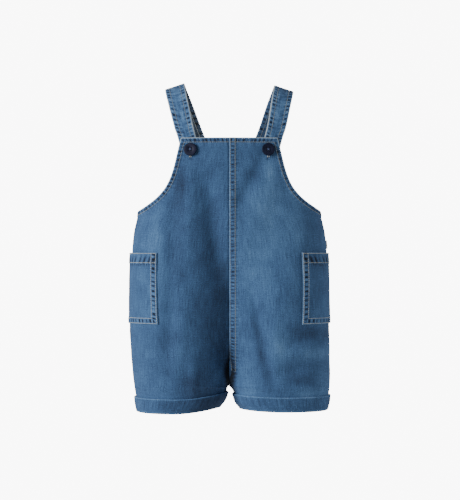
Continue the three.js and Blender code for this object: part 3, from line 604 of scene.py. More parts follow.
def denim(name, bright=0.0):
    """Washed denim. bright lifts the whole dye, and the wrong side shows the undyed weft."""
    material, tree, surface = shader(name)
    cloth = tree.nodes.new("ShaderNodeUVMap")
    cloth.uv_map = "cloth"
    vector = cloth.outputs["UV"]
    warp = cloth_noise(tree, vector, (1.1, 0.05), 3)
    weft = cloth_noise(tree, vector, (0.07, 1.2), 2)
    cloud = cloth_noise(tree, vector, (0.05, 0.03), 4)
    grain = cloth_noise(tree, vector, (1.0, 0.7), 2, 0.7)
    twill = tree.nodes.new("ShaderNodeTexWave")
    twill.bands_direction = "DIAGONAL"
    twill.inputs["Scale"].default_value = 480.0
    twill.inputs["Distortion"].default_value = 1.5
    tree.links.new(vector, twill.inputs["Vector"])
    fade_and_painted_shade = tree.nodes.new("ShaderNodeAttribute")
    fade_and_painted_shade.attribute_name = "fade_and_painted_shade"
    total = maths(tree, "ADD", fade_and_painted_shade.outputs["Fac"], 0.5 + bright)
    total = maths(tree, "ADD", total, centred(tree, warp, 0.40))
    total = maths(tree, "ADD", total, centred(tree, weft, 0.16))
    total = maths(tree, "ADD", total, centred(tree, cloud, 0.13))
    total = maths(tree, "ADD", total, centred(tree, grain, 0.52))
    total = maths(tree, "ADD", total, centred(tree, twill.outputs["Fac"], 0.06))
    inside = tree.nodes.new("ShaderNodeAttribute")
    inside.attribute_name = "inside"
    faces = tree.nodes.new("ShaderNodeMix")
    faces.data_type = "RGBA"
    tree.links.new(inside.outputs["Fac"], faces.inputs[MIX_SHARE])
    tree.links.new(colour_ramp(tree, total, DYE), faces.inputs[MIX_FIRST])
    tree.links.new(colour_ramp(tree, total, UNDYED), faces.inputs[MIX_SECOND])
    tree.links.new(faces.outputs[MIXED], surface.inputs["Base Color"])
    height = maths(tree, "ADD", centred(tree, warp, 0.5), centred(tree, grain, 1.0))
    height = maths(tree, "ADD", height, centred(tree, twill.outputs["Fac"], 0.35))
    roughen(tree, surface, height, 0.6, 0.00025)
    surface.inputs["Roughness"].default_value = 0.9
    surface.inputs["Specular IOR Level"].default_value = 0.25
    surface.inputs["Sheen Weight"].default_value = 0.12
    surface.inputs["Sheen Roughness"].default_value = 0.5
    surface.inputs["Sheen Tint"].default_value = (0.7, 0.8, 0.95, 1)
    return material


BODY_DENIM = denim("body denim")
STRAP_DENIM = denim("strap denim", bright=0.11)
POCKET_DENIM = denim("pocket denim", bright=0.01)
CUFF_DENIM = denim("cuff denim")
print("denims", [m.name for m in (BODY_DENIM, STRAP_DENIM, POCKET_DENIM, CUFF_DENIM)])

# %% [markdown]
# ## The edge of the bib and the armhole
#
# The neck edge and the armhole are turned in and topstitched as one band. Its place is worked out on
# the cloth: the armhole is one smooth curve from the bib's corner to the armpit, and every point of
# a panel knows how far it lies from that edge.

# %% The edge line
# How far the armhole's curve is pulled at its top and at the armpit: outward or inward in
# millimetres, and down or up as a share of its height
TOP_PULL = (11.7, 0.45)
ARMPIT_PULL = (47.0, 0.26)
EDGE_STEP = 0.5
FAR_AWAY = 99.0


def armhole(face, steps):
    """x and drop along the armhole, from the top corner to the armpit."""
    half, top = (NECK_HALF, NECK_DROP) if face == "front" else (BACK_HALF, BACK_DROP)
    span = ARMPIT_DROP - top
    p = np.array([
        (half, top),
        (half + TOP_PULL[0], top + TOP_PULL[1] * span),
        (ARMPIT_HALF - ARMPIT_PULL[0], ARMPIT_DROP - ARMPIT_PULL[1] * span),
        (ARMPIT_HALF, ARMPIT_DROP),
    ])
    u = np.linspace(0, 1, steps)[:, None]
    return (1 - u) ** 3 * p[0] + 3 * u * (1 - u) ** 2 * p[1] + 3 * u * u * (1 - u) * p[2] + u**3 * p[3]


def resample(line, count=None, spacing=None):
    """The same line with even steps."""
    steps = np.hypot(*np.diff(line, axis=0).T)
    reached = np.concatenate([[0], np.cumsum(steps)])
    if count is None:
        count = max(2, int(round(reached[-1] / spacing)) + 1)
    wanted = np.linspace(0, reached[-1], count)
    return np.stack([np.interp(wanted, reached, line[:, k]) for k in (0, 1)], -1)


def armhole_line(face, side):
    """Length of cloth and drop along the armhole, in even steps."""
    seen = armhole(face, 160)
    length = length_at_x(face, side, seen[:, 1], np.minimum(seen[:, 0], ARMPIT_HALF - 0.001))
    length[-1] = total_length(face, side, ARMPIT_DROP)
    return resample(np.stack([length, seen[:, 1]], -1), spacing=EDGE_STEP)


def inset(line, depth):
    """The line moved into the cloth by a depth."""
    along = np.gradient(line, axis=0)
    along /= np.linalg.norm(along, axis=1, keepdims=True)
    inward = np.stack([-along[:, 1], along[:, 0]], -1)
    inward[-1] = (0, 1)
    return line + inward * depth


def edge_row(face, side, depth, neck_count, arm_count):
    """Places at one depth from the neck edge and the armhole, from the centre seam to the side."""
    line = armhole_line(face, side)
    top = line[0, 1]
    moved = inset(line, depth)
    moved = moved[moved[:, 1] >= top + depth - TINY]
    corner = moved[0]
    neck = np.linspace(CENTRE_COLUMNS[-1], corner[0], neck_count + 1)[1:]
    arm = resample(moved, arm_count + 1)[1:]
    length = np.concatenate([CENTRE_COLUMNS, neck, arm[:, 0]])
    drop = np.concatenate([np.full(len(CENTRE_COLUMNS) + neck_count, top + depth), arm[:, 1]])
    length[-1] = total_length(face, side, drop[-1])
    return length, drop


def edge_distance(face, side, drop, length):
    """How far each place is from the neck edge or the armhole, and where along that edge."""
    # Only places near the edge are measured, in parts, which saves memory
    line = armhole_line(face, side)
    top = line[0, 1]
    flat = np.stack([length.ravel(), drop.ravel()], -1)
    near = flat[:, 1] < ARMPIT_DROP + 20
    away = np.full(len(flat), FAR_AWAY)
    along = np.zeros(len(flat))
    for part in np.array_split(np.flatnonzero(near), 12):
        gaps = np.hypot(*(flat[part, None, :] - line[None, :, :]).transpose(2, 0, 1))
        k = gaps.argmin(axis=1)
        away[part] = gaps[np.arange(len(part)), k]
        along[part] = line[0, 0] + EDGE_STEP * k
    from_neck = flat[:, 1] - top
    neck = from_neck < away
    away = np.where(neck, from_neck, away)
    along = np.where(neck, flat[:, 0], along)
    return away.reshape(drop.shape), along.reshape(drop.shape)


CENTRE_COLUMNS = np.array([0, 0.35, 1.0, 2.0, 3.2, 4.4, 5.6, 6.5, 7.0, 7.4, 8.2])
EDGE_DEPTHS = (0, 0.3, 0.7, 1.3, 2.3, 3.4, 4.5, 5.3, 5.8, 6.3, 6.8, 7.5)
print("armhole", round(EDGE_STEP * len(armhole_line("front", 1))), "mm of edge")

# %% [markdown]
# ## The panels
#
# The first rows of a panel follow the neck and the armhole, the next ones turn level, and the last
# ones run round the leg. The relief has the turned edges, the felled centre seam, the stitch
# grooves and the puckers. The inner face is plain, as the wrong side of the cloth is.

# %% Rows of a panel
NECK_COUNT = 27
ARM_COUNT = 76
LEVEL_DROP = 200.0
YOKE_ROWS = 84
BODY_ROWS = 124
LEG_ROWS = 22
CUFF_HEIGHT = 16.4


def cuff_row(side, up):
    """Drops of a row at the inseam and at the side, a distance above the hem."""
    return HEM_DROP[side] - INSEAM_LIFT[side] - up, HEM_DROP[side] - up


def seam_drops(face, count):
    """Drops that are even steps along the centre seam from the first level row to the crotch."""
    drop = LEVEL_DROP + (CROTCH_DROP - LEVEL_DROP) * np.sin(np.linspace(0, math.pi / 2, 600))
    y = section_point(face, 1, drop, np.zeros_like(drop))[1]
    reached = np.concatenate([[0], np.cumsum(np.hypot(np.diff(y), np.diff(drop)))])
    return np.interp(np.linspace(0, reached[-1], count + 1)[1:], reached, drop)


def panel_net(face, side):
    """Drop and length of cloth at every point of a panel."""
    edge = [edge_row(face, side, depth, NECK_COUNT, ARM_COUNT) for depth in EDGE_DEPTHS]
    lengths = [row[0] for row in edge]
    drops = [row[1] for row in edge]
    columns = len(lengths[0])
    spread = np.linspace(0, 1, columns - len(CENTRE_COLUMNS) + 1)[1:]
    share = step(np.arange(columns) / (columns - 1), *HEM_TURN)

    def level(drop):
        total = total_length(face, side, drop)
        rest = CENTRE_COLUMNS[-1] + (total[len(CENTRE_COLUMNS):] - CENTRE_COLUMNS[-1]) * spread
        return np.concatenate([CENTRE_COLUMNS, rest])

    start_length, start_drop = lengths[-1], drops[-1]
    end_length = level(np.full(columns, LEVEL_DROP))
    for k in range(1, YOKE_ROWS + 1):
        part = k / YOKE_ROWS
        drop = start_drop + (LEVEL_DROP - start_drop) * part
        lengths.append(start_length + (end_length - start_length) * part)
        lengths[-1][-1] = total_length(face, side, drop[-1])
        drops.append(drop)
    hip = CROTCH_DROP - 11
    rows = list(zip(seam_drops(face, BODY_ROWS), np.linspace(LEVEL_DROP, hip, BODY_ROWS + 1)[1:]))
    top = cuff_row(side, CUFF_HEIGHT)
    for k in range(1, LEG_ROWS):
        part = k / LEG_ROWS
        rows.append((CROTCH_DROP + (top[0] - CROTCH_DROP) * part, hip + (top[1] - hip) * part))
    rows += [cuff_row(side, up) for up in (CUFF_HEIGHT, 13, 9, 5, 2, 0)]
    for centre, outer in rows:
        drop = centre + (outer - centre) * share
        lengths.append(level(drop))
        drops.append(drop)
    return np.array(drops), np.array(lengths)


print("rows and columns of a front panel", panel_net("front", 1)[0].shape)

# %% Relief and fade of a panel
EDGE_STITCH = 5.4
FELL_STITCHES = (1.2, 7.2)
PANEL_SEED = {"front": 100, "back": 200}


def groove(away, width=0.55):
    """The hollow that a tight row of stitches presses into the cloth."""
    return np.exp(-((away / width) ** 2))


def rounded(share):
    """The quarter circle of a folded edge: 0 at the fold, 1 where the cloth is flat again."""
    return np.sqrt(np.clip(1 - (1 - np.clip(share, 0, 1)) ** 2, 0, 1))


def band(away, depth):
    """1 on a turned edge of that depth, rounded at the fold and stepping down at its inner side."""
    return rounded(away / 1.1) * (1 - step(away, depth - 0.2, depth + 0.9))


# Places painted paler or darker, each a soft patch: some stand for dye that washing took off or left,
# others are painted light and painted shade, such as the dark painted shade at drop 361 in the cleft
# between the legs and the darker patches low on the wearer's right leg.
# x, drop, spread across, spread down, change of fade
WORN_AND_SHADED_PLACES = {
    ("front", 1): (
        (34, 216, 22, 42, 0.11),
        (48, 140, 22, 30, 0.12),
        (50, 107, 9, 15, 0.20),
        (33, 110, 8, 13, -0.12),
        (80, 180, 12, 40, 0.11),
        (30, 285, 8, 16, -0.07),
        (35, 306, 7, 15, -0.12),
        (40, 330, 7, 15, -0.13),
        (48, 352, 7, 15, -0.12),
        (56, 172, 20, 30, 0.06),
        (98, 303, 24, 10, -0.12),
        (62, 318, 11, 22, 0.17),
        (106, 330, 22, 10, 0.14),
        (86, 361, 11, 9, -0.1),
        (97, 384, 14, 10, 0.22),
        (118, 372, 10, 20, 0.1),
        (46, 387, 14, 8, 0.14),
        (22, 378, 12, 16, 0.08),
        (2, 361, 4, 16, -0.6),
    ),
    ("front", -1): (
        (-59, 124, 10, 32, -0.17),
        (-62, 188, 16, 42, -0.09),
        (-90, 198, 10, 34, 0.08),
        (-72, 325, 14, 36, -0.07),
        (-26, 385, 24, 20, -0.15),
        (-46, 366, 15, 15, -0.17),
        (-1, 361, 3, 16, -0.6),
    ),
    ("back", 1): ((50, 250, 26, 70, 0.05),),
    ("back", -1): ((-50, 250, 26, 70, 0.05),),
}


def panel_wear_and_shade(face, side, drop, length):
    """Where the cloth is painted paler or darker, partly for wear of the dye and partly as painted light
    and shade. On the wearer's right the deep folds are painted darker as painted shade.
    """
    x = form(face, side, drop, length)[0][..., 0]
    fade_and_painted_shade = np.zeros_like(drop)
    # Painted shade and light: on the wearer's right the troughs of the folds are painted darker and their
    # ridges paler.
    if side < 0:
        fade_and_painted_shade += 0.011 * np.clip(fold_rise(face, side, drop, length, x), -14, 7) * step(length, 0, 5)
    for at_x, at_drop, across, down, change in WORN_AND_SHADED_PLACES[face, side]:
        fade_and_painted_shade += change * np.exp(-(((x - at_x) / across) ** 2) - ((drop - at_drop) / down) ** 2)
    return fade_and_painted_shade


def panel_relief(face, side, drop, length):
    """How far the cloth stands above the form, and how faded it is, with painted light and shade added in
    places.
    """
    seed = PANEL_SEED[face] + side
    edge, along = edge_distance(face, side, drop, length)
    on_edge = band(edge, TURNED_EDGE)
    swing = pucker(along + 0.25 * edge, 4.9, seed)
    fine = pucker(along - 0.3 * edge, 2.7, seed + 1)
    inside = np.exp(-np.clip(edge - EDGE_STITCH, 0, None) / 3.2) * (edge > EDGE_STITCH)
    mid_band = np.exp(-(((edge - 3.3) / 2.3) ** 4))
    rise = RISE * on_edge + (0.26 * swing + 0.1 * fine) * (mid_band + 0.35 * inside)
    rise -= 0.34 * groove(edge - EDGE_STITCH)
    fade_and_painted_shade = 0.78 * np.exp(-((edge / 1.15) ** 2)) + 0.05 * inside
    fade_and_painted_shade += (blots(swing, 0.4, 0.2) + 0.12 * fine - 0.07) * mid_band
    fade_and_painted_shade += blots(swing, 0.14, 0.1) * inside
    if face == "front":
        down_seam = drop + 0.15 * length
        ladder = pucker(down_seam, 4.4, 40)
        ladder_fine = pucker(down_seam, 2.3, 41)
        open_seam = step(drop, NECK_DROP, NECK_DROP + 4)
        below_button = drop - BUTTON_DROP
        at_button = length_at_x(face, side, np.array([BUTTON_DROP]), BUTTON_X)[0]
        # Painted shadow: a slanted dark line is painted where the lower end of the buttonhole's slit lies
        # in shadow.
        slit = np.exp(-(((length - at_button + 0.3 * (below_button - 9)) / 0.9) ** 2))
        fade_and_painted_shade -= 0.6 * slit * step(below_button, 8.6, 9.4) * (1 - step(below_button, 12, 13))
        if side > 0:
            lap = 1 - step(length, FELL, FELL + 1.2)
            between = np.exp(-(((length - 4.2) / 2.2) ** 4))
            rise += RISE * 0.8 * lap * np.sqrt(np.clip(length / 0.9, 0, 1))
            rise += (0.22 * ladder + 0.1 * ladder_fine) * between * open_seam
            fade_and_painted_shade += (blots(ladder, 0.34, 0.14) + 0.1 * ladder_fine - 0.03) * between * open_seam
            fade_and_painted_shade += 0.3 * np.exp(-((length / 0.55) ** 2))
            for stitch in FELL_STITCHES:
                rise -= 0.3 * groove(length - stitch)
            fade_and_painted_shade += blots(ladder, 0.2, 0.12) * np.exp(-np.abs(length - 8.8) / 1.4) * open_seam
        else:
            rise -= 0.5 * np.exp(-((length / 1.4) ** 2))
            rise += 0.12 * ladder * np.exp(-length / 3)
            # Painted shade: a dark line is painted beside the fell's folded edge, where the edge casts its
            # shadow; the puckers of the ladder next to it are wear.
            fade_and_painted_shade -= 0.2 * np.exp(-((length / 1.3) ** 2)) - 0.05 * ladder * np.exp(-length / 4)
    else:
        back_seam = pucker(drop, 4.8, 43)
        rise -= 0.7 * np.exp(-((length / 1.1) ** 2)) * (edge > 1)
        rise += 0.16 * back_seam * np.exp(-length / 3.5)
        fade_and_painted_shade += 0.12 * np.exp(-(((length - 2.2) / 1.2) ** 2)) + 0.08 * back_seam * np.exp(-length / 3)
    from_side = total_length(face, side, drop) - length
    side_seam = pucker(drop, 5.0, 50 + side)
    rise -= 0.6 * np.exp(-((from_side / 1.1) ** 2))
    rise += 0.18 * side_seam * np.exp(-from_side / 3.5)
    fade_and_painted_shade += 0.10 * np.exp(-(((from_side - 2.2) / 1.3) ** 2)) + 0.07 * side_seam * np.exp(-from_side / 3)
    fade_and_painted_shade += panel_wear_and_shade(face, side, drop, length)
    # The soft hills of unpressed cloth, on a sideways measure that is even across the side seam
    sideways = (200 - from_side) * side
    soft = 0.32 * ripple(sideways, drop, 17, seed + 5)
    soft += 0.16 * ripple(sideways + 0.4 * drop, drop * 0.5, 7, seed + 6)
    rise += soft * step(edge, 6, 16)
    fade_and_painted_shade += 0.03 * ripple(sideways, drop, 11, seed + 7) + 0.03 * soft
    return rise, fade_and_painted_shade


print("worn and shaded places", {key: len(places) for key, places in WORN_AND_SHADED_PLACES.items()})


def panel(face, word):
    """One panel, from its net and its relief."""
    side = SIDES[word]
    drop, length = panel_net(face, side)
    rise, fade_and_painted_shade = panel_relief(face, side, drop, length)
    outer, _ = lay(face, side, drop, length, rise)
    inner, _ = lay(face, side, drop, length, -CLOTH)
    for skin in (outer, inner):
        skin[-1, :, 2] = -drop[-1]
    uv = np.stack([length - total_length(face, side, drop), -drop], -1)
    piece = make_sheet(f"{face}_panel_{word}", outer, inner, uv, fade_and_painted_shade, BODY_DENIM)
    dress(piece, f"{face}_{word}")


for panel_word in SIDES:
    panel("front", panel_word)
    panel("back", panel_word)

# %% [markdown]
# ## The straps
#
# A strap is doubled cloth, 25 mm wide, turned in along both sides and topstitched. It comes from
# inside the back, over the shoulder, and ends behind the bib. Its middle line is a smooth curve
# through the points of the measured strap, and its ends are laid against the panels that hide them.
# The cloth is doubled, so both faces are denim and the stitches show on both. Its inner face is painted
# darker as painted shade, and on the wearer's right also greyer.

# %% The strap's line
STRAP_THICK = 2.0
STRAP_LENGTH = 268
STRAP_WIDTH = 25
# How far each strap sinks at the shoulder, and how far it is moved outward below it
SETTLE = {1: 1.7, -1: -0.8}
SPREAD = {1: 2.4, -1: 0.0}
# How far above a panel's edge a strap starts to lie against it, and how deep behind it lies
TUCK_BLEND = 12.0
TUCK_DEPTH = 1.2
# x, y, z, turn, lift, width
STRAP_LINE = np.array([
    (45.4, -40.4, -93, 0.2, -0.25, 22),
    (48.7, -39.6, -79.5, 0.2, -0.25, 22),
    (52.3, -38.6, -65, 0.21, -0.25, 22.6),
    (56.6, -35.8, -48, 0.2, -0.26, 23.6),
    (62.2, -29.4, -25, 0.12, -0.3, 24.6),
    (66.3, -18, -8, 0.05, -0.33, 25.2),
    (68, 0, 0.4, 0, -0.335, 25.4),
    (64.8, 18, -7.6, -0.05, -0.34, 25.4),
    (58, 30, -24, -0.12, -0.35, 25.4),
    (48.8, 37.8, -48, -0.16, -0.36, 25.4),
    (39.6, 41.4, -72, -0.15, -0.36, 25.4),
    (34.6, 42.2, -86, -0.14, -0.36, 25.4),
    (31, 43, -96, -0.14, -0.36, 25.4),
])


def smooth_line(points, u):
    """A smooth curve through points. u runs from 0 to 1, with even shares between neighbours."""
    knots = np.concatenate([[2 * points[0] - points[1]], points, [2 * points[-1] - points[-2]]])
    place = np.clip(u, 0, 1) * (len(points) - 1)
    k = np.minimum(place.astype(int), len(points) - 2)
    w = (place - k)[:, None]
    p0, p1, p2, p3 = (knots[k + n] for n in range(4))
    first = (p2 - p0) * w + (2 * p0 - 5 * p1 + 4 * p2 - p3) * w**2
    return 0.5 * (2 * p1 + first + (3 * p1 - p0 - 3 * p2 + p3) * w**3)


def tucked(middle, out, side, offset, depth):
    """Points of a strap: free above the panels, against a panel's inner face below its top edge."""
    free = middle + out * offset[..., None]
    free = free * np.array([side, 1, 1])
    drop = -middle[..., 2]
    laid = free.copy()
    share = np.zeros_like(drop)
    ahead = middle[..., 1] < 0
    for face, top, half in (("front", NECK_DROP, ahead), ("back", BACK_DROP, ~ahead)):
        low = half & (drop > top - TUCK_BLEND)
        length = length_at_x(face, side, drop[low], middle[..., 0][low])
        laid[low] = lay(face, side, drop[low], length, -TUCK_DEPTH - LAY_GAP - depth[low])[0]
        share[low] = step(drop[low], top - TUCK_BLEND, top - 1)
    return free + (laid - free) * share[..., None]


print("top of a strap", np.round(smooth_line(STRAP_LINE, np.array([0.5]))[0, :3], 1))

# %% Straps
STRAP_STITCH = 5.9
# How much darker each strap's inner face is painted, and how far its colour is mixed towards the grey
# undyed ramp: the wearer's right one is painted much darker and greyer, as painted shade
STRAP_INSIDE_SHADE = {1: (0.12, 0.15), -1: (0.30, 0.55)}


def strap_places(u, across, side, lift=0.0):
    """Both faces of a strap: u along it, across from -0.5 to 0.5 of its width. Also the way out."""
    line = smooth_line(STRAP_LINE, u)
    ahead = smooth_line(STRAP_LINE, np.clip(u + 0.002, 0, 1))[:, :3]
    behind = smooth_line(STRAP_LINE, np.clip(u - 0.002, 0, 1))[:, :3]
    tangent = (ahead - behind) / np.linalg.norm(ahead - behind, axis=1, keepdims=True)
    centre = line[:, :3].copy()
    centre[:, 2] -= SETTLE[side] * step(centre[:, 2], -45, 0)
    centre[:, 0] += SPREAD[side] * step(-centre[:, 2], 5, 55)
    lean = np.stack([np.ones(len(u)), line[:, 3], line[:, 4]], -1)
    lean -= tangent * (lean * tangent).sum(axis=1, keepdims=True)
    lean /= np.linalg.norm(lean, axis=1, keepdims=True)
    out = -np.cross(tangent, lean)
    out /= np.linalg.norm(out, axis=1, keepdims=True)
    middle = centre[:, None, :] + lean[:, None, :] * (across * line[:, 5:6])[..., None]
    out = np.broadcast_to(out[:, None, :], middle.shape)
    lift = np.broadcast_to(lift, across.shape)
    ones = np.ones(across.shape)
    outer = tucked(middle, out, side, STRAP_THICK / 2 + lift, -lift)
    inner = tucked(middle, out, side, -STRAP_THICK / 2 * ones, STRAP_THICK * ones)
    return outer, inner, out * np.array([side, 1, 1])


def strap(word):
    """One strap, with its rolled sides, puckers and stitch grooves."""
    side = SIDES[word]
    u = np.linspace(0, 1, 230)
    shares = np.sin(np.linspace(-math.pi / 2, math.pi / 2, 31)) / 2
    across = np.broadcast_to(shares, (len(u), len(shares)))
    width = smooth_line(STRAP_LINE, u)[:, 5:6]
    from_edge = (0.5 - np.abs(across)) * width
    along = np.broadcast_to(u[:, None] * STRAP_LENGTH, across.shape)
    left = across < 0
    left_swing = pucker(along + 0.08 * from_edge, 5.5, 60 + side)
    right_swing = pucker(along + 0.55 * from_edge, 5.7, 63 + side)
    swing = np.where(left, left_swing, right_swing)
    fine = np.where(left, pucker(along, 3.0, 66 + side), pucker(along, 3.1, 69 + side))
    mid_band = np.exp(-(((from_edge - 3.4) / 1.7) ** 2))
    inside = np.exp(-np.clip(from_edge - STRAP_STITCH, 0, None) / 2.6) * (from_edge > STRAP_STITCH)
    lift = (0.24 * swing + 0.1 * fine) * (mid_band + 0.5 * inside)
    lift -= 0.32 * groove(from_edge - STRAP_STITCH) + 0.75 * (1 - rounded(from_edge / 1.3))
    sideways = across * STRAP_WIDTH
    lift += 0.2 * ripple(along, sideways, 8, 72 + side)
    fade_and_painted_shade = (blots(swing, 0.62, 0.22) + 0.1 * fine) * mid_band
    fade_and_painted_shade += (blots(swing, 0.3, 0.1) + 0.1 * fine) * inside
    fade_and_painted_shade += 0.6 * np.exp(-((from_edge / 1.15) ** 2)) + 0.1 * ripple(along, sideways, 4, 75 + side)
    fade_and_painted_shade += 0.16 * ripple(along / 5, sideways, 2.2, 78 + side) * step(from_edge, 5, 8)
    outer, inner, _ = strap_places(u, across, side, lift)
    uv = np.stack([across * width, along], -1)
    # Painted shade on the inner face: darker than the outer face, and darker and greyer still on the
    # wearer's right.
    inner_shade, undyed_and_shade = STRAP_INSIDE_SHADE[side]
    shaded_lining = 0.8 * fade_and_painted_shade - inner_shade
    piece = make_sheet(f"shoulder_strap_{word}", outer, inner, uv, fade_and_painted_shade, STRAP_DENIM, shaded_lining, undyed_and_shade)
    dress(piece, f"strap_{word}")


for strap_word in SIDES:
    strap(strap_word)

# %% [markdown]
# ## The side pockets
#
# Each pocket is a wide patch that wraps round the side seam. It is laid on the two panels, a little
# off them and a little full. Its top edge is turned in as a deep band, and its other sides have two
# rows of stitches, so they pucker between the rows. A patch could be pressed onto the body by a
# Shrinkwrap modifier, but laid by the same form it keeps its true width round the side.

# %% Places at the side
def at_side(side, drop, reach, lift=0.0):
    """Points by their reach from the side seam: above 0 to the front, below 0 to the back."""
    drop, reach, lift = np.broadcast_arrays(drop, reach, lift)
    point = np.zeros((*drop.shape, 3))
    normal = np.zeros_like(point)
    for face, half in (("front", reach >= 0), ("back", reach < 0)):
        length = total_length(face, side, drop[half]) - np.abs(reach[half])
        point[half], normal[half] = lay(face, side, drop[half], length, lift[half])
    return point, normal


print("side seam at the hip", np.round(at_side(1, HIP_DROP, np.zeros(1))[0], 1))

# %% Pockets
POCKET_TOP = 206.0
POCKET_BOTTOM = 293.5
POCKET_FRONT = {1: (59.9, 62.7), -1: (58.7, 63.6)}
POCKET_BACK = -48.0
POCKET_BAND = 12.6
POCKET_LINES = (1.3, 7.4)
POCKET_CLOTH = 1.0


def pocket_front(side, drop):
    """Reach of the front edge, which looks upright because it leans on the round side."""
    top, bottom = POCKET_FRONT[side]
    return top + (bottom - top) * (drop - POCKET_TOP) / (POCKET_BOTTOM - POCKET_TOP)


def pocket_puff(side, drop, reach):
    """How far a pocket stands off the panel, because it isn't pulled tight."""
    low = (POCKET_BOTTOM - drop) / (POCKET_BOTTOM - POCKET_TOP)
    edge = np.where(reach > 0, pocket_front(side, drop), -POCKET_BACK)
    return (1 - (reach / edge) ** 2) * np.minimum(1, 1.6 * low)


def pocket_relief(side, drop, reach):
    """Relief and fade from the distances to the four edges."""
    front = pocket_front(side, drop) - reach
    back = reach - POCKET_BACK
    bottom = POCKET_BOTTOM - drop
    top = drop - POCKET_TOP
    edge = np.minimum(np.minimum(front, back), bottom)
    along = np.where(bottom < np.minimum(front, back), reach + 300, drop)
    swing = pucker(along + 0.2 * edge, 5.6, 80 + side)
    fine = pucker(along, 2.9, 82 + side)
    mid_band = np.exp(-(((edge - 4.3) / 2.2) ** 4))
    rise = 0.35 * (1 - step(edge, 7.6, 8.8)) + (0.24 * swing + 0.09 * fine) * mid_band
    rise -= 0.8 * (1 - rounded(np.minimum(edge, top)))
    fade_and_painted_shade = (blots(swing, 0.5, 0.24) + 0.1 * fine) * mid_band + 0.22 * np.exp(-((edge / 0.6) ** 2))
    for line in POCKET_LINES:
        rise -= 0.3 * groove(edge - line)
        fade_and_painted_shade += 0.08 * groove(edge - line, 0.9)
    hem = 1 - step(top, POCKET_BAND + 0.1, POCKET_BAND + 1.1)
    ribs = pucker(reach + 0.35 * top, 7.0, 84 + side)
    deep = step(top, 1, 9) * hem
    rise += 0.55 * hem + 0.24 * ribs * deep - 0.34 * groove(top - POCKET_BAND + 0.4)
    fade_and_painted_shade += (blots(ribs, 0.36, 0.12) - 0.06) * deep + 0.3 * np.exp(-((top / 0.8) ** 2))
    fade_and_painted_shade += 0.15 * groove(top - POCKET_BAND - 0.1, 0.6)
    below = np.exp(-np.clip(top - POCKET_BAND - 1.6, 0, None) / 2.2) * (top > POCKET_BAND + 0.9)
    gathers = pucker(reach, 3.4, 86 + side)
    fade_and_painted_shade += (blots(gathers, 0.3, 0.1) - 0.1) * below
    rise += 0.12 * gathers * below
    soft = ripple(reach, drop, 14, 88 + side)
    return rise + 0.25 * soft * (1 - mid_band), fade_and_painted_shade + 0.05 * soft


def pocket(word):
    """One pocket, laid over the side seam."""
    side = SIDES[word]
    edge_steps = np.array([0, 0.3, 0.8, 1.4, 2.2, 3.2, 4.2, 5.2, 6.2, 7.0, 7.6, 8.2, 9.0])
    wide = POCKET_FRONT[side][0]
    inner_reach = np.linspace(wide - 10, POCKET_BACK + 10, 72)
    reach = np.concatenate([wide - edge_steps, inner_reach, (POCKET_BACK + edge_steps)[::-1]])
    band_steps = np.array([0, 0.3, 0.8, 1.6, 2.8, 4.2, 5.6, 7.0, 8.4, 9.8, 11.0, 11.8, 12.4])
    top_steps = np.append(band_steps, (13.0, 13.8, 14.8))
    middle = np.linspace(POCKET_TOP + 16, POCKET_BOTTOM - 10, 52)
    rows = np.concatenate([POCKET_TOP + top_steps, middle, (POCKET_BOTTOM - edge_steps)[::-1]])
    drop, reach = np.meshgrid(rows, reach, indexing="ij")
    reach = reach + (pocket_front(side, drop) - wide) * np.clip(reach / wide, 0, 1)
    rise, fade_and_painted_shade = pocket_relief(side, drop, reach)
    puff = pocket_puff(side, drop, reach)
    outer, _ = at_side(side, drop, reach, LAY_GAP + POCKET_CLOTH + puff + rise)
    inner, _ = at_side(side, drop, reach, LAY_GAP + puff)
    uv = np.stack([reach + 400, -drop], -1)
    piece = make_sheet(f"side_pocket_{word}", outer, inner, uv, fade_and_painted_shade, POCKET_DENIM)
    dress(piece, f"pocket_{word}")


for pocket_word in SIDES:
    pocket(pocket_word)

# %% [markdown]
# ## The cuffs
#
# A cuff is the hem turned up on the outside. It is a ring round the leg: its upper edge is a worn
# fold, and its lower edge rolls under the leg's own lower edge. The ring is made from a profile
# that is carried round the leg, so it is closed all the way. The same profile swept along a curve
# would be quicker, but it wouldn't follow the folds of the leg.

# %% Cuffs
CUFF_CLOTH = 2.0
HALF_ROUND = 150


def on_leg(side, up, share, lift, below=0.0):
    """Points round the leg at a height above the hem, lifted off the leg's cloth.

    The share is 0 and 2 at the inseam, and 1 at the side seam.
    """
    up, share, lift, below = np.broadcast_arrays(up, share, lift, below)
    top, low = (np.asarray(value) for value in cuff_row(side, up))
    front = share <= 1
    part = np.where(front, share, 2 - share)
    drop = top + (low - top) * step(part, *HEM_TURN)
    point = np.zeros((*drop.shape, 3))
    for face, half in (("front", front), ("back", ~front)):
        length = total_length(face, side, drop[half]) * part[half]
        point[half], _ = lay(face, side, drop[half], length, lift[half])
    point[..., 2] -= below
    return point


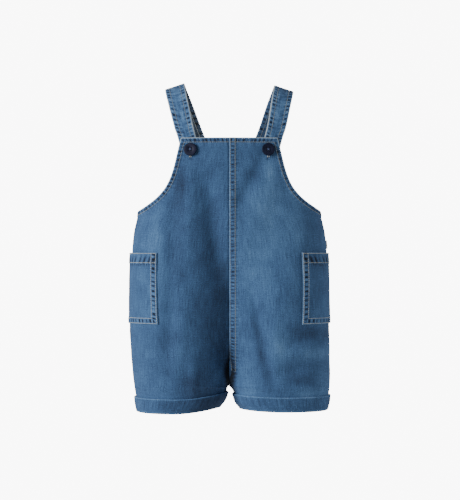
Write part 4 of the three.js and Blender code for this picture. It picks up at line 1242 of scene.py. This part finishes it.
def cuff(word):
    """One cuff. Each row of the profile is: height above the hem, lift, and drop below the hem."""
    side = SIDES[word]
    full = LAY_GAP + CUFF_CLOTH
    heights = np.linspace(15.8, 0.4, 20)
    outside = [(up, full + 0.45 * math.sin(math.pi * up / CUFF_HEIGHT), 0) for up in heights]
    roll = [(0, full - 0.05, 0.5), (0, full - 0.4, 1.2), (0, 1.3, 1.75), (0, 0.4, 1.9), (0, -0.6, 1.9)]
    back_up = [(0, -1.15, 1.5), (0, -1.2, 0.9), (0, -0.8, 0.3), (0, 0.0, 0.3), (0, LAY_GAP, 0.2)]
    behind = [(up, LAY_GAP, 0) for up in (1, 5, 9, 13, 15.8)]
    fold = [
        (CUFF_HEIGHT, LAY_GAP + 0.3, 0),
        (CUFF_HEIGHT + 0.35, 1.3, 0),
        (CUFF_HEIGHT + 0.1, full - 0.3, 0),
    ]
    profile = np.array(outside + roll + back_up + behind + fold, float)
    share = np.linspace(0, 2, 361)[:-1]
    up, lift, below = (np.broadcast_to(profile[:, k, None], (len(profile), len(share))) for k in range(3))
    outer_rows = np.zeros(len(profile), bool)
    outer_rows[: len(outside) + 2] = True
    outer_rows[-2:] = True
    along = share * HALF_ROUND
    swing = pucker(along + 0.3 * up, 6.6, 90 + side)
    fine = pucker(along, 3.2, 92 + side)
    on = outer_rows[:, None] * 1.0
    bulge = np.exp(-(((up - 9) / 5.5) ** 4))
    rise = on * ((0.06 * swing + 0.04 * fine) * bulge + 0.35 * ripple(along, up, 18, 94 + side))
    fade_and_painted_shade = on * ((0.04 * swing + 0.03 * fine) * bulge - 0.03)
    fade_and_painted_shade += 0.32 * np.exp(-(((CUFF_HEIGHT - up) / 0.55) ** 2)) * on
    fade_and_painted_shade += 0.12 * on * np.exp(-((up / 0.8) ** 2)) + 0.05 * ripple(along, up, 9, 96 + side)
    # Painted shade: the inner front of the wearer's right cuff is painted darker, as that side of the leg
    # is in shade.
    if side < 0:
        fade_and_painted_shade -= 0.17 * on * np.exp(-(((share - 0.25) / 0.25) ** 2))
    seam = np.minimum(np.abs(share - 1), np.minimum(share, 2 - share)) * HALF_ROUND
    rise = rise + on * (0.35 * np.exp(-((seam / 2.2) ** 2)) - 0.5 * np.exp(-((seam / 0.6) ** 2)))
    point = on_leg(side, up, share[None, :], lift + rise, below)
    count = len(profile)
    faces = grid_faces(count + 1, len(share), around=True) % (count * len(share))
    points = point.reshape(-1, 3)
    faces = outward(points, faces)
    uv = np.stack([along + 0 * up, up - below], -1).reshape(-1, 2)
    piece = make_mesh(f"leg_cuff_{word}", points, faces, uv, fade_and_painted_shade.ravel(), CUFF_DENIM)
    dress(piece, f"cuff_{word}")


for cuff_word in SIDES:
    cuff(cuff_word)

# %% [markdown]
# ## Topstitching
#
# Thread is sewn through and through, so each stitch is a short bead that dips into the cloth at both
# ends. One bead of a few faces is repeated along every line of sewing, always in the direction of
# its seam and square to the cloth. All stitches of one colour on one kind of piece are one mesh,
# which is lighter than thousands of separate objects.

# %% Thread shader
TWIST = 700.0


def thread(name, colour):
    """Sewing thread, with the fine slant of its twist."""
    material, tree, surface = shader(name)
    noise = object_noise(tree, TWIST)
    shaded = tuple(0.55 * part for part in colour)
    twisted = colour_ramp(tree, noise, ((0.3, shaded), (0.7, colour)))
    tree.links.new(twisted, surface.inputs["Base Color"])
    roughen(tree, surface, noise, 0.4)
    surface.inputs["Roughness"].default_value = 0.7
    return material


TAN_THREAD = thread("tan thread", (0.48, 0.53, 0.52))
CREAM_THREAD = thread("cream thread", (0.76, 0.80, 0.78))
print("threads:", TAN_THREAD.name, "and", CREAM_THREAD.name)

# %% One bead, repeated
# Place along the bead, size and height
BEAD_RINGS = (
    (-0.5, 0.15, -0.75),
    (-0.3, 0.85, 0.0),
    (0.0, 1.0, 0.3),
    (0.3, 0.85, 0.0),
    (0.5, 0.15, -0.75),
)
BEAD_SIDES = 6


def bead():
    """Points of a bead (along as a share of its length; across and up in radii) and its faces."""
    angle = np.arange(BEAD_SIDES) * 2 * math.pi / BEAD_SIDES
    rings = [
        np.stack([np.full(BEAD_SIDES, along), size * np.cos(angle), size * np.sin(angle) + lift], -1)
        for along, size, lift in BEAD_RINGS
    ]
    return np.concatenate(rings), grid_faces(len(BEAD_RINGS), BEAD_SIDES, around=True)


def sew(name, runs, material, radius, pitch, ratio):
    """One mesh with a bead for each stitch.

    A run has points along a line and their outward directions. The ratio is the length of a bead as
    a share of the stitch.
    """
    shape, faces = bead()
    middles, lines, ups, lengths = [], [], [], []
    for points, normals in runs:
        reached = np.concatenate([[0], np.cumsum(np.linalg.norm(np.diff(points, axis=0), axis=1))])
        count = max(1, int(reached[-1] / pitch))
        at = (np.arange(count + 1)) * reached[-1] / count
        knots = np.stack([np.interp(at, reached, points[:, k]) for k in range(3)], -1)
        middle = (at[1:] + at[:-1]) / 2
        up = np.stack([np.interp(middle, reached, normals[:, k]) for k in range(3)], -1)
        line = np.diff(knots, axis=0)
        size = np.linalg.norm(line, axis=1, keepdims=True)
        middles.append(np.stack([np.interp(middle, reached, points[:, k]) for k in range(3)], -1))
        lines.append(line / size)
        ups.append(up / np.linalg.norm(up, axis=1, keepdims=True))
        lengths.append(size * ratio)
    middle, line, up, length = (np.concatenate(part) for part in (middles, lines, ups, lengths))
    across = np.cross(up, line)
    across /= np.linalg.norm(across, axis=1, keepdims=True)
    up = np.cross(line, across)
    points = middle[:, None] + line[:, None] * shape[None, :, :1] * length[:, None]
    points += across[:, None] * shape[None, :, 1:2] * radius
    points += up[:, None] * shape[None, :, 2:] * radius
    count = len(middle)
    every = (faces[None] + np.arange(count)[:, None, None] * len(shape)).reshape(-1, 4)
    flat = points.reshape(-1, 3)
    first = every[: len(faces)]
    if (outward(flat, first, middle[0]) != first).any():
        every = every[:, ::-1]
    uv = np.zeros((len(flat), 2))
    piece = make_mesh(name, flat, every, uv, np.zeros(len(flat)), material)
    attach(piece, "root")
    print(name, count, "stitches")


print("points in a bead", len(bead()[0]))

# %% Lines of sewing on the panels
# How high the middle of a bead lies over its cloth
STITCH_LIFT = 0.12


def panel_run(face, side, drop, length):
    """A run of sewing that follows the panel's relief."""
    rise, _ = panel_relief(face, side, drop, length)
    return lay(face, side, drop, length, rise + STITCH_LIFT)


def edge_run(face, side):
    """The stitch line inside the neck edge and the armhole."""
    line = armhole_line(face, side)
    moved = inset(line, EDGE_STITCH)
    moved = moved[moved[:, 1] >= line[0, 1] + EDGE_STITCH]
    across = np.arange(0.5, moved[0, 0], 0.7)
    neck = np.stack([across, np.full(len(across), moved[0, 1])], -1)
    path = np.concatenate([neck, moved])
    return panel_run(face, side, path[:, 1], path[:, 0])


tan_runs = [edge_run(face, side) for face, side in MEASURED]
seam = np.concatenate([np.arange(NECK_DROP + 0.5, LEVEL_DROP, 0.8), seam_drops("front", 260)])
seam = seam[seam < CROTCH_DROP - 16]
for stitch in FELL_STITCHES:
    tan_runs.append(panel_run("front", 1, seam, np.full(len(seam), stitch)))
sew("panel_stitches", tan_runs, TAN_THREAD, 0.40, 2.3, 1.0)

# %% Lines of sewing on the straps and pockets
def strap_runs(side):
    """The two stitch lines along a strap."""
    u = np.linspace(0.01, 0.99, 420)
    width = smooth_line(STRAP_LINE, u)[:, 5:6]
    runs = []
    for sign in (-1, 1):
        across = sign * (0.5 - STRAP_STITCH / width)
        outer, inner, out = strap_places(u, across, side, np.full(across.shape, -0.18))
        runs.append((outer[:, 0], out[:, 0]))
        runs.append((inner[:, 0] - out[:, 0] * STITCH_LIFT, -out[:, 0]))
    return runs


def pocket_run(side, drop, reach):
    """A run of sewing on a pocket."""
    rise, _ = pocket_relief(side, drop, reach)
    lift = LAY_GAP + POCKET_CLOTH + pocket_puff(side, drop, reach) + rise + STITCH_LIFT
    return at_side(side, drop, reach, lift)


def pocket_runs(side):
    """Twin rows round a pocket, and one row under its top band."""
    runs = []
    for inset_by in POCKET_LINES:
        back = POCKET_BACK + inset_by
        bottom = POCKET_BOTTOM - inset_by
        down = np.arange(POCKET_TOP + 0.8, bottom, 0.8)
        front = pocket_front(side, down) - inset_by
        along = np.arange(front[-1], back, -0.8)
        drop = np.concatenate([down, np.full(len(along), bottom), down[::-1]])
        reach = np.concatenate([front, along, np.full(len(down), back)])
        runs.append(pocket_run(side, drop, reach))
    band_line = np.arange(POCKET_FRONT[side][0] - 1, POCKET_BACK + 1, -0.8)
    for drop in (POCKET_TOP + 1.0, POCKET_TOP + POCKET_BAND - 0.4):
        runs.append(pocket_run(side, np.full(len(band_line), drop), band_line))
    return runs


sew("strap_stitches", strap_runs(1) + strap_runs(-1), TAN_THREAD, 0.36, 2.3, 0.98)
sew("pocket_stitches", pocket_runs(1) + pocket_runs(-1), CREAM_THREAD, 0.38, 2.3, 0.98)

# %% [markdown]
# ## Buttons and buttonholes
#
# A four-hole button is turned from navy resin: a rounded rim, a dished middle and four drilled holes.
# The same steps make it here. It is sewn to the strap behind the bib with a cross of thread, and it
# has been pushed through an upright buttonhole, which is edged with close satin stitches.

# %% Seat of a button
BUTTON_RADIUS = 7.9
BUTTON_THICK = 2.4
RIM = 3.2
WELL_RADIUS = 4.0
HOLE_RADIUS = 0.95
HOLE_OFFSET = 1.55
BUTTON_LIFT = 0.8


def button_seat(side, lift=0.0):
    """Matrix of a button's place on the bib, in millimetres: Z points outward."""
    drop = np.array([BUTTON_DROP])
    length = length_at_x("front", side, drop, BUTTON_X)
    point, normal = lay("front", side, drop, length)
    z = Vector(normal[0])
    x = Vector((0, 0, 1)).cross(z).normalized()
    y = z.cross(x)
    origin = Vector(point[0]) + z * lift
    turn = Matrix((x, y, z)).transposed().to_4x4()
    return Matrix.Translation(origin) @ turn


print("seat of the wearer's left button", [round(part, 1) for part in button_seat(1).translation])

# %% Button shader
def resin():
    """Navy resin with a faint cloud and a satin face."""
    material, tree, surface = shader("navy button resin")
    noise = object_noise(tree, 260, 4)
    navy = colour_ramp(tree, noise, ((0.3, (0.009, 0.013, 0.034)), (0.75, (0.022, 0.024, 0.062))))
    tree.links.new(navy, surface.inputs["Base Color"])
    rough = tree.nodes.new("ShaderNodeMapRange")
    rough.inputs["To Min"].default_value = 0.4
    rough.inputs["To Max"].default_value = 0.55
    tree.links.new(noise, rough.inputs["Value"])
    tree.links.new(rough.outputs[0], surface.inputs["Roughness"])
    surface.inputs["Specular IOR Level"].default_value = 0.2
    roughen(tree, surface, noise, 0.15)
    return material


BUTTON_RESIN = resin()
print("made", BUTTON_RESIN.name)

# %% Buttons
def select_top():
    """Enters edit mode with only the button's top face selected."""
    bpy.ops.object.mode_set(mode="EDIT")
    bpy.ops.mesh.select_mode(type="FACE")
    bpy.ops.mesh.select_all(action="DESELECT")
    bpy.ops.object.mode_set(mode="OBJECT")
    faces = bpy.context.object.data.polygons
    max(faces, key=lambda face: face.center.z).select = True
    bpy.ops.object.mode_set(mode="EDIT")


def button(word):
    """One button: turn the disc, dish its middle, round its rim and drill its holes."""
    side = SIDES[word]
    bpy.ops.object.select_all(action="DESELECT")
    thick = BUTTON_THICK * MM
    bpy.ops.mesh.primitive_cylinder_add(
        vertices=64, radius=BUTTON_RADIUS * MM, depth=thick, location=(0, 0, thick / 2)
    )
    disc = bpy.context.object
    disc.name = f"resin_button_{word}"
    bpy.ops.object.transform_apply(location=True, rotation=False, scale=False)
    select_top()
    bpy.ops.mesh.inset(thickness=RIM * MM, depth=0)
    bpy.ops.mesh.inset(thickness=(BUTTON_RADIUS - RIM - WELL_RADIUS) * MM, depth=-0.15 * MM)
    bpy.ops.mesh.inset(thickness=0.8 * MM, depth=-0.3 * MM)
    bpy.ops.object.mode_set(mode="OBJECT")
    rounding = disc.modifiers.new("rounding", "BEVEL")
    rounding.width = 0.5 * MM
    rounding.segments = 4
    rounding.limit_method = "ANGLE"
    rounding.angle_limit = math.radians(32)
    bpy.ops.object.modifier_apply(modifier="rounding")
    for across, up in ((1, 1), (1, -1), (-1, 1), (-1, -1)):
        spot = (across * HOLE_OFFSET * MM, up * HOLE_OFFSET * MM, 0)
        radius = HOLE_RADIUS * MM
        bpy.ops.mesh.primitive_cylinder_add(vertices=20, radius=radius, depth=12 * MM, location=spot)
        drill = bpy.context.object
        bore = disc.modifiers.new("bore", "BOOLEAN")
        bore.object = drill
        bore.solver = "EXACT"
        bpy.ops.object.select_all(action="DESELECT")
        disc.select_set(True)
        bpy.context.view_layer.objects.active = disc
        bpy.ops.object.modifier_apply(modifier="bore")
        bpy.data.objects.remove(drill, do_unlink=True)
    bpy.ops.object.shade_smooth_by_angle(angle=math.radians(35))
    seat = button_seat(side, BUTTON_LIFT)
    disc.data.transform(Matrix.Scale(MM, 4) @ seat @ Matrix.Scale(1 / MM, 4))
    disc.data.materials.append(BUTTON_RESIN)
    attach(disc, "root")
    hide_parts(f"button_{word}")
    print(disc.name, len(disc.data.polygons), "faces")


for button_word in SIDES:
    button(button_word)

# %% Thread of the buttons and buttonholes
SLIT_TOP = 3.2
SLIT_BOTTOM = 12.0
SLIT_HALF = 0.6
SATIN_BOTTOM = 9.4


def seated(side, points, lift=BUTTON_LIFT):
    """Points given in the button's own frame."""
    seat = np.array(button_seat(side, lift))
    points = np.asarray(points, float)
    return points @ seat[:3, :3].T + seat[:3, 3]


def button_thread_runs(side):
    """A cross of doubled thread over the four holes."""
    out = np.array(button_seat(side))[:3, 2]
    top = BUTTON_THICK - 0.42
    runs = []
    for turn in (-1, 1):
        for shift in (-0.2, 0.2):
            ends = [(end * HOLE_OFFSET + shift, turn * (end * HOLE_OFFSET - shift), top) for end in (-1, 1)]
            runs.append((seated(side, ends), np.array([out, out])))
    return runs


def buttonhole_runs(side):
    """Short satin stitches along both lips of the slit."""
    runs = []
    up = np.array(button_seat(side))[:3, 2]
    for y in np.arange(-SATIN_BOTTOM, SLIT_TOP, 0.5):
        for sign in (-1, 1):
            ends = np.array([(sign * 0.45, y, 0.95), (sign * 1.5, y - 0.1, 0.6)])
            runs.append((seated(side, ends, 0.0), np.array([up, up])))
    return runs


def cut_buttonhole(word):
    """Cuts the slit through the bib."""
    bpy.ops.object.select_all(action="DESELECT")
    bpy.ops.mesh.primitive_cylinder_add(vertices=24, radius=1, depth=1)
    knife = bpy.context.object
    middle = (SLIT_TOP - SLIT_BOTTOM) / 2
    size = Matrix.Diagonal((SLIT_HALF, (SLIT_TOP + SLIT_BOTTOM) / 2, 6, 1))
    place = button_seat(SIDES[word]) @ Matrix.Translation((0, middle, 0)) @ size
    knife.data.transform(Matrix.Scale(MM, 4) @ place)
    bib = bpy.data.objects[f"front_panel_{word}"]
    slit = bib.modifiers.new("slit", "BOOLEAN")
    slit.object = knife
    slit.solver = "EXACT"
    bpy.ops.object.select_all(action="DESELECT")
    bib.select_set(True)
    bpy.context.view_layer.objects.active = bib
    bpy.ops.object.modifier_apply(modifier="slit")
    bpy.data.objects.remove(knife, do_unlink=True)
    print(bib.name, "cut,", len(bib.data.polygons), "faces")


for cut_word in SIDES:
    cut_buttonhole(cut_word)

BLUE_THREAD = thread("blue button thread", (0.13, 0.19, 0.40))
cross_runs = button_thread_runs(1) + button_thread_runs(-1)
sew("button_thread", cross_runs, BLUE_THREAD, 0.2, 4.6, 1.05)
satin_runs = buttonhole_runs(1) + buttonhole_runs(-1)
sew("buttonhole_stitches", satin_runs, CREAM_THREAD, 0.27, 4.0, 1.0)

# %% [markdown]
# ## The side label
#
# A small folded tab of off-white woven tape is caught in the side seam on the wearer's left. It is
# plain here. It comes out of the seam, bends, and lies back along the cloth.

# %% Label
LABEL_TOP = 190.6
LABEL_HEIGHT = 10.4
LABEL_THICK = 0.9


def tape():
    """Off-white tape, with a fine crosswise rib."""
    material, tree, surface = shader("label tape")
    coordinates = tree.nodes.new("ShaderNodeUVMap")
    coordinates.uv_map = "cloth"
    ribs = cloth_noise(tree, coordinates.outputs["UV"], (0.5, 3.0), 2)
    ribbed = colour_ramp(tree, ribs, ((0.25, (0.55, 0.54, 0.50)), (0.65, (0.86, 0.85, 0.80))))
    tree.links.new(ribbed, surface.inputs["Base Color"])
    roughen(tree, surface, ribs, 0.4)
    surface.inputs["Roughness"].default_value = 0.8
    return material


def side_label():
    """The tab, from inside the seam to its free fold."""
    path = np.array([(2.4, 0.5), (1.2, 1.0), (0, 1.7), (-1.6, 1.75), (-3.5, 1.5), (-5.2, 1.3), (-7, 1.2)])
    u = np.linspace(0, 1, 24)
    reach = np.interp(u, np.linspace(0, 1, len(path)), path[:, 0])
    lift = np.interp(u, np.linspace(0, 1, len(path)), path[:, 1])
    rows = LABEL_TOP + np.linspace(0, LABEL_HEIGHT, 20)
    drop, reach = np.meshgrid(rows, reach, indexing="ij")
    wave = 0.08 * ripple(reach * 3, drop, 3, 7)
    outer, _ = at_side(1, drop, reach, lift[None, :] + wave)
    inner, _ = at_side(1, drop, reach, lift[None, :] - LABEL_THICK + wave)
    uv = np.stack([reach, -drop], -1)
    piece = make_sheet("woven_side_label", outer, inner, uv, np.zeros(drop.shape), tape())
    dress(piece, "side_label")


side_label()

# %% [markdown]
# ## The stage and the light
#
# A pale floor lies far below the garment, and a glowing white panel stands far behind it. One large
# soft lamp stands to the left, and a faint one fills the right, because the photograph is brighter on
# the left of every fold.

# %% Stage
FLOOR = -1.25


def floor():
    """A wide pale floor, low enough to leave the garment hanging clear."""
    bpy.ops.mesh.primitive_plane_add(size=9, location=(0, -0.5, FLOOR))
    ground = bpy.context.object
    ground.name = "studio_floor"
    material, tree, surface = shader("studio paper")
    noise = object_noise(tree, 30)
    mottle = colour_ramp(tree, noise, ((0, (0.80, 0.80, 0.80)), (1, (0.86, 0.86, 0.86))))
    tree.links.new(mottle, surface.inputs["Base Color"])
    surface.inputs["Roughness"].default_value = 0.9
    ground.data.materials.append(material)


def lamp(name, place, aim, size, power):
    """A square soft lamp at a place, turned to its aim."""
    data = bpy.data.lights.new(name, "AREA")
    data.shape = "SQUARE"
    data.size = size
    data.energy = power
    light = bpy.data.objects.new(name, data)
    light.location = place
    light.rotation_euler = (Vector(aim) - Vector(place)).to_track_quat("-Z", "Y").to_euler()
    bpy.context.scene.collection.objects.link(light)


def backdrop():
    """A far white panel that glows evenly, as wide as the camera sees."""
    bpy.ops.mesh.primitive_plane_add(size=4.4, location=(0, 9, -0.2), rotation=(math.radians(90), 0, 0))
    panel_lit = bpy.context.object
    panel_lit.name = "studio_backdrop"
    material, _, surface = shader("lit white paper")
    surface.inputs["Base Color"].default_value = (0.9, 0.9, 0.9, 1)
    surface.inputs["Emission Color"].default_value = (1, 1, 1, 1)
    surface.inputs["Emission Strength"].default_value = 9
    panel_lit.data.materials.append(material)


floor()
backdrop()
lamp("key_lamp", (-1.78, -1.1, 0.35), (0, 0, -0.22), 1.0, 44)
lamp("fill_lamp", (2.1, -0.22, 0.1), (0, 0, -0.2), 1.0, 14)
world = bpy.data.worlds.new("studio")
world.use_nodes = True
world.node_tree.nodes["Background"].inputs["Color"].default_value = (1, 1, 1, 1)
world.node_tree.nodes["Background"].inputs["Strength"].default_value = 0.11
bpy.context.scene.world = world
print("lamps", [light.name for light in bpy.data.lights])
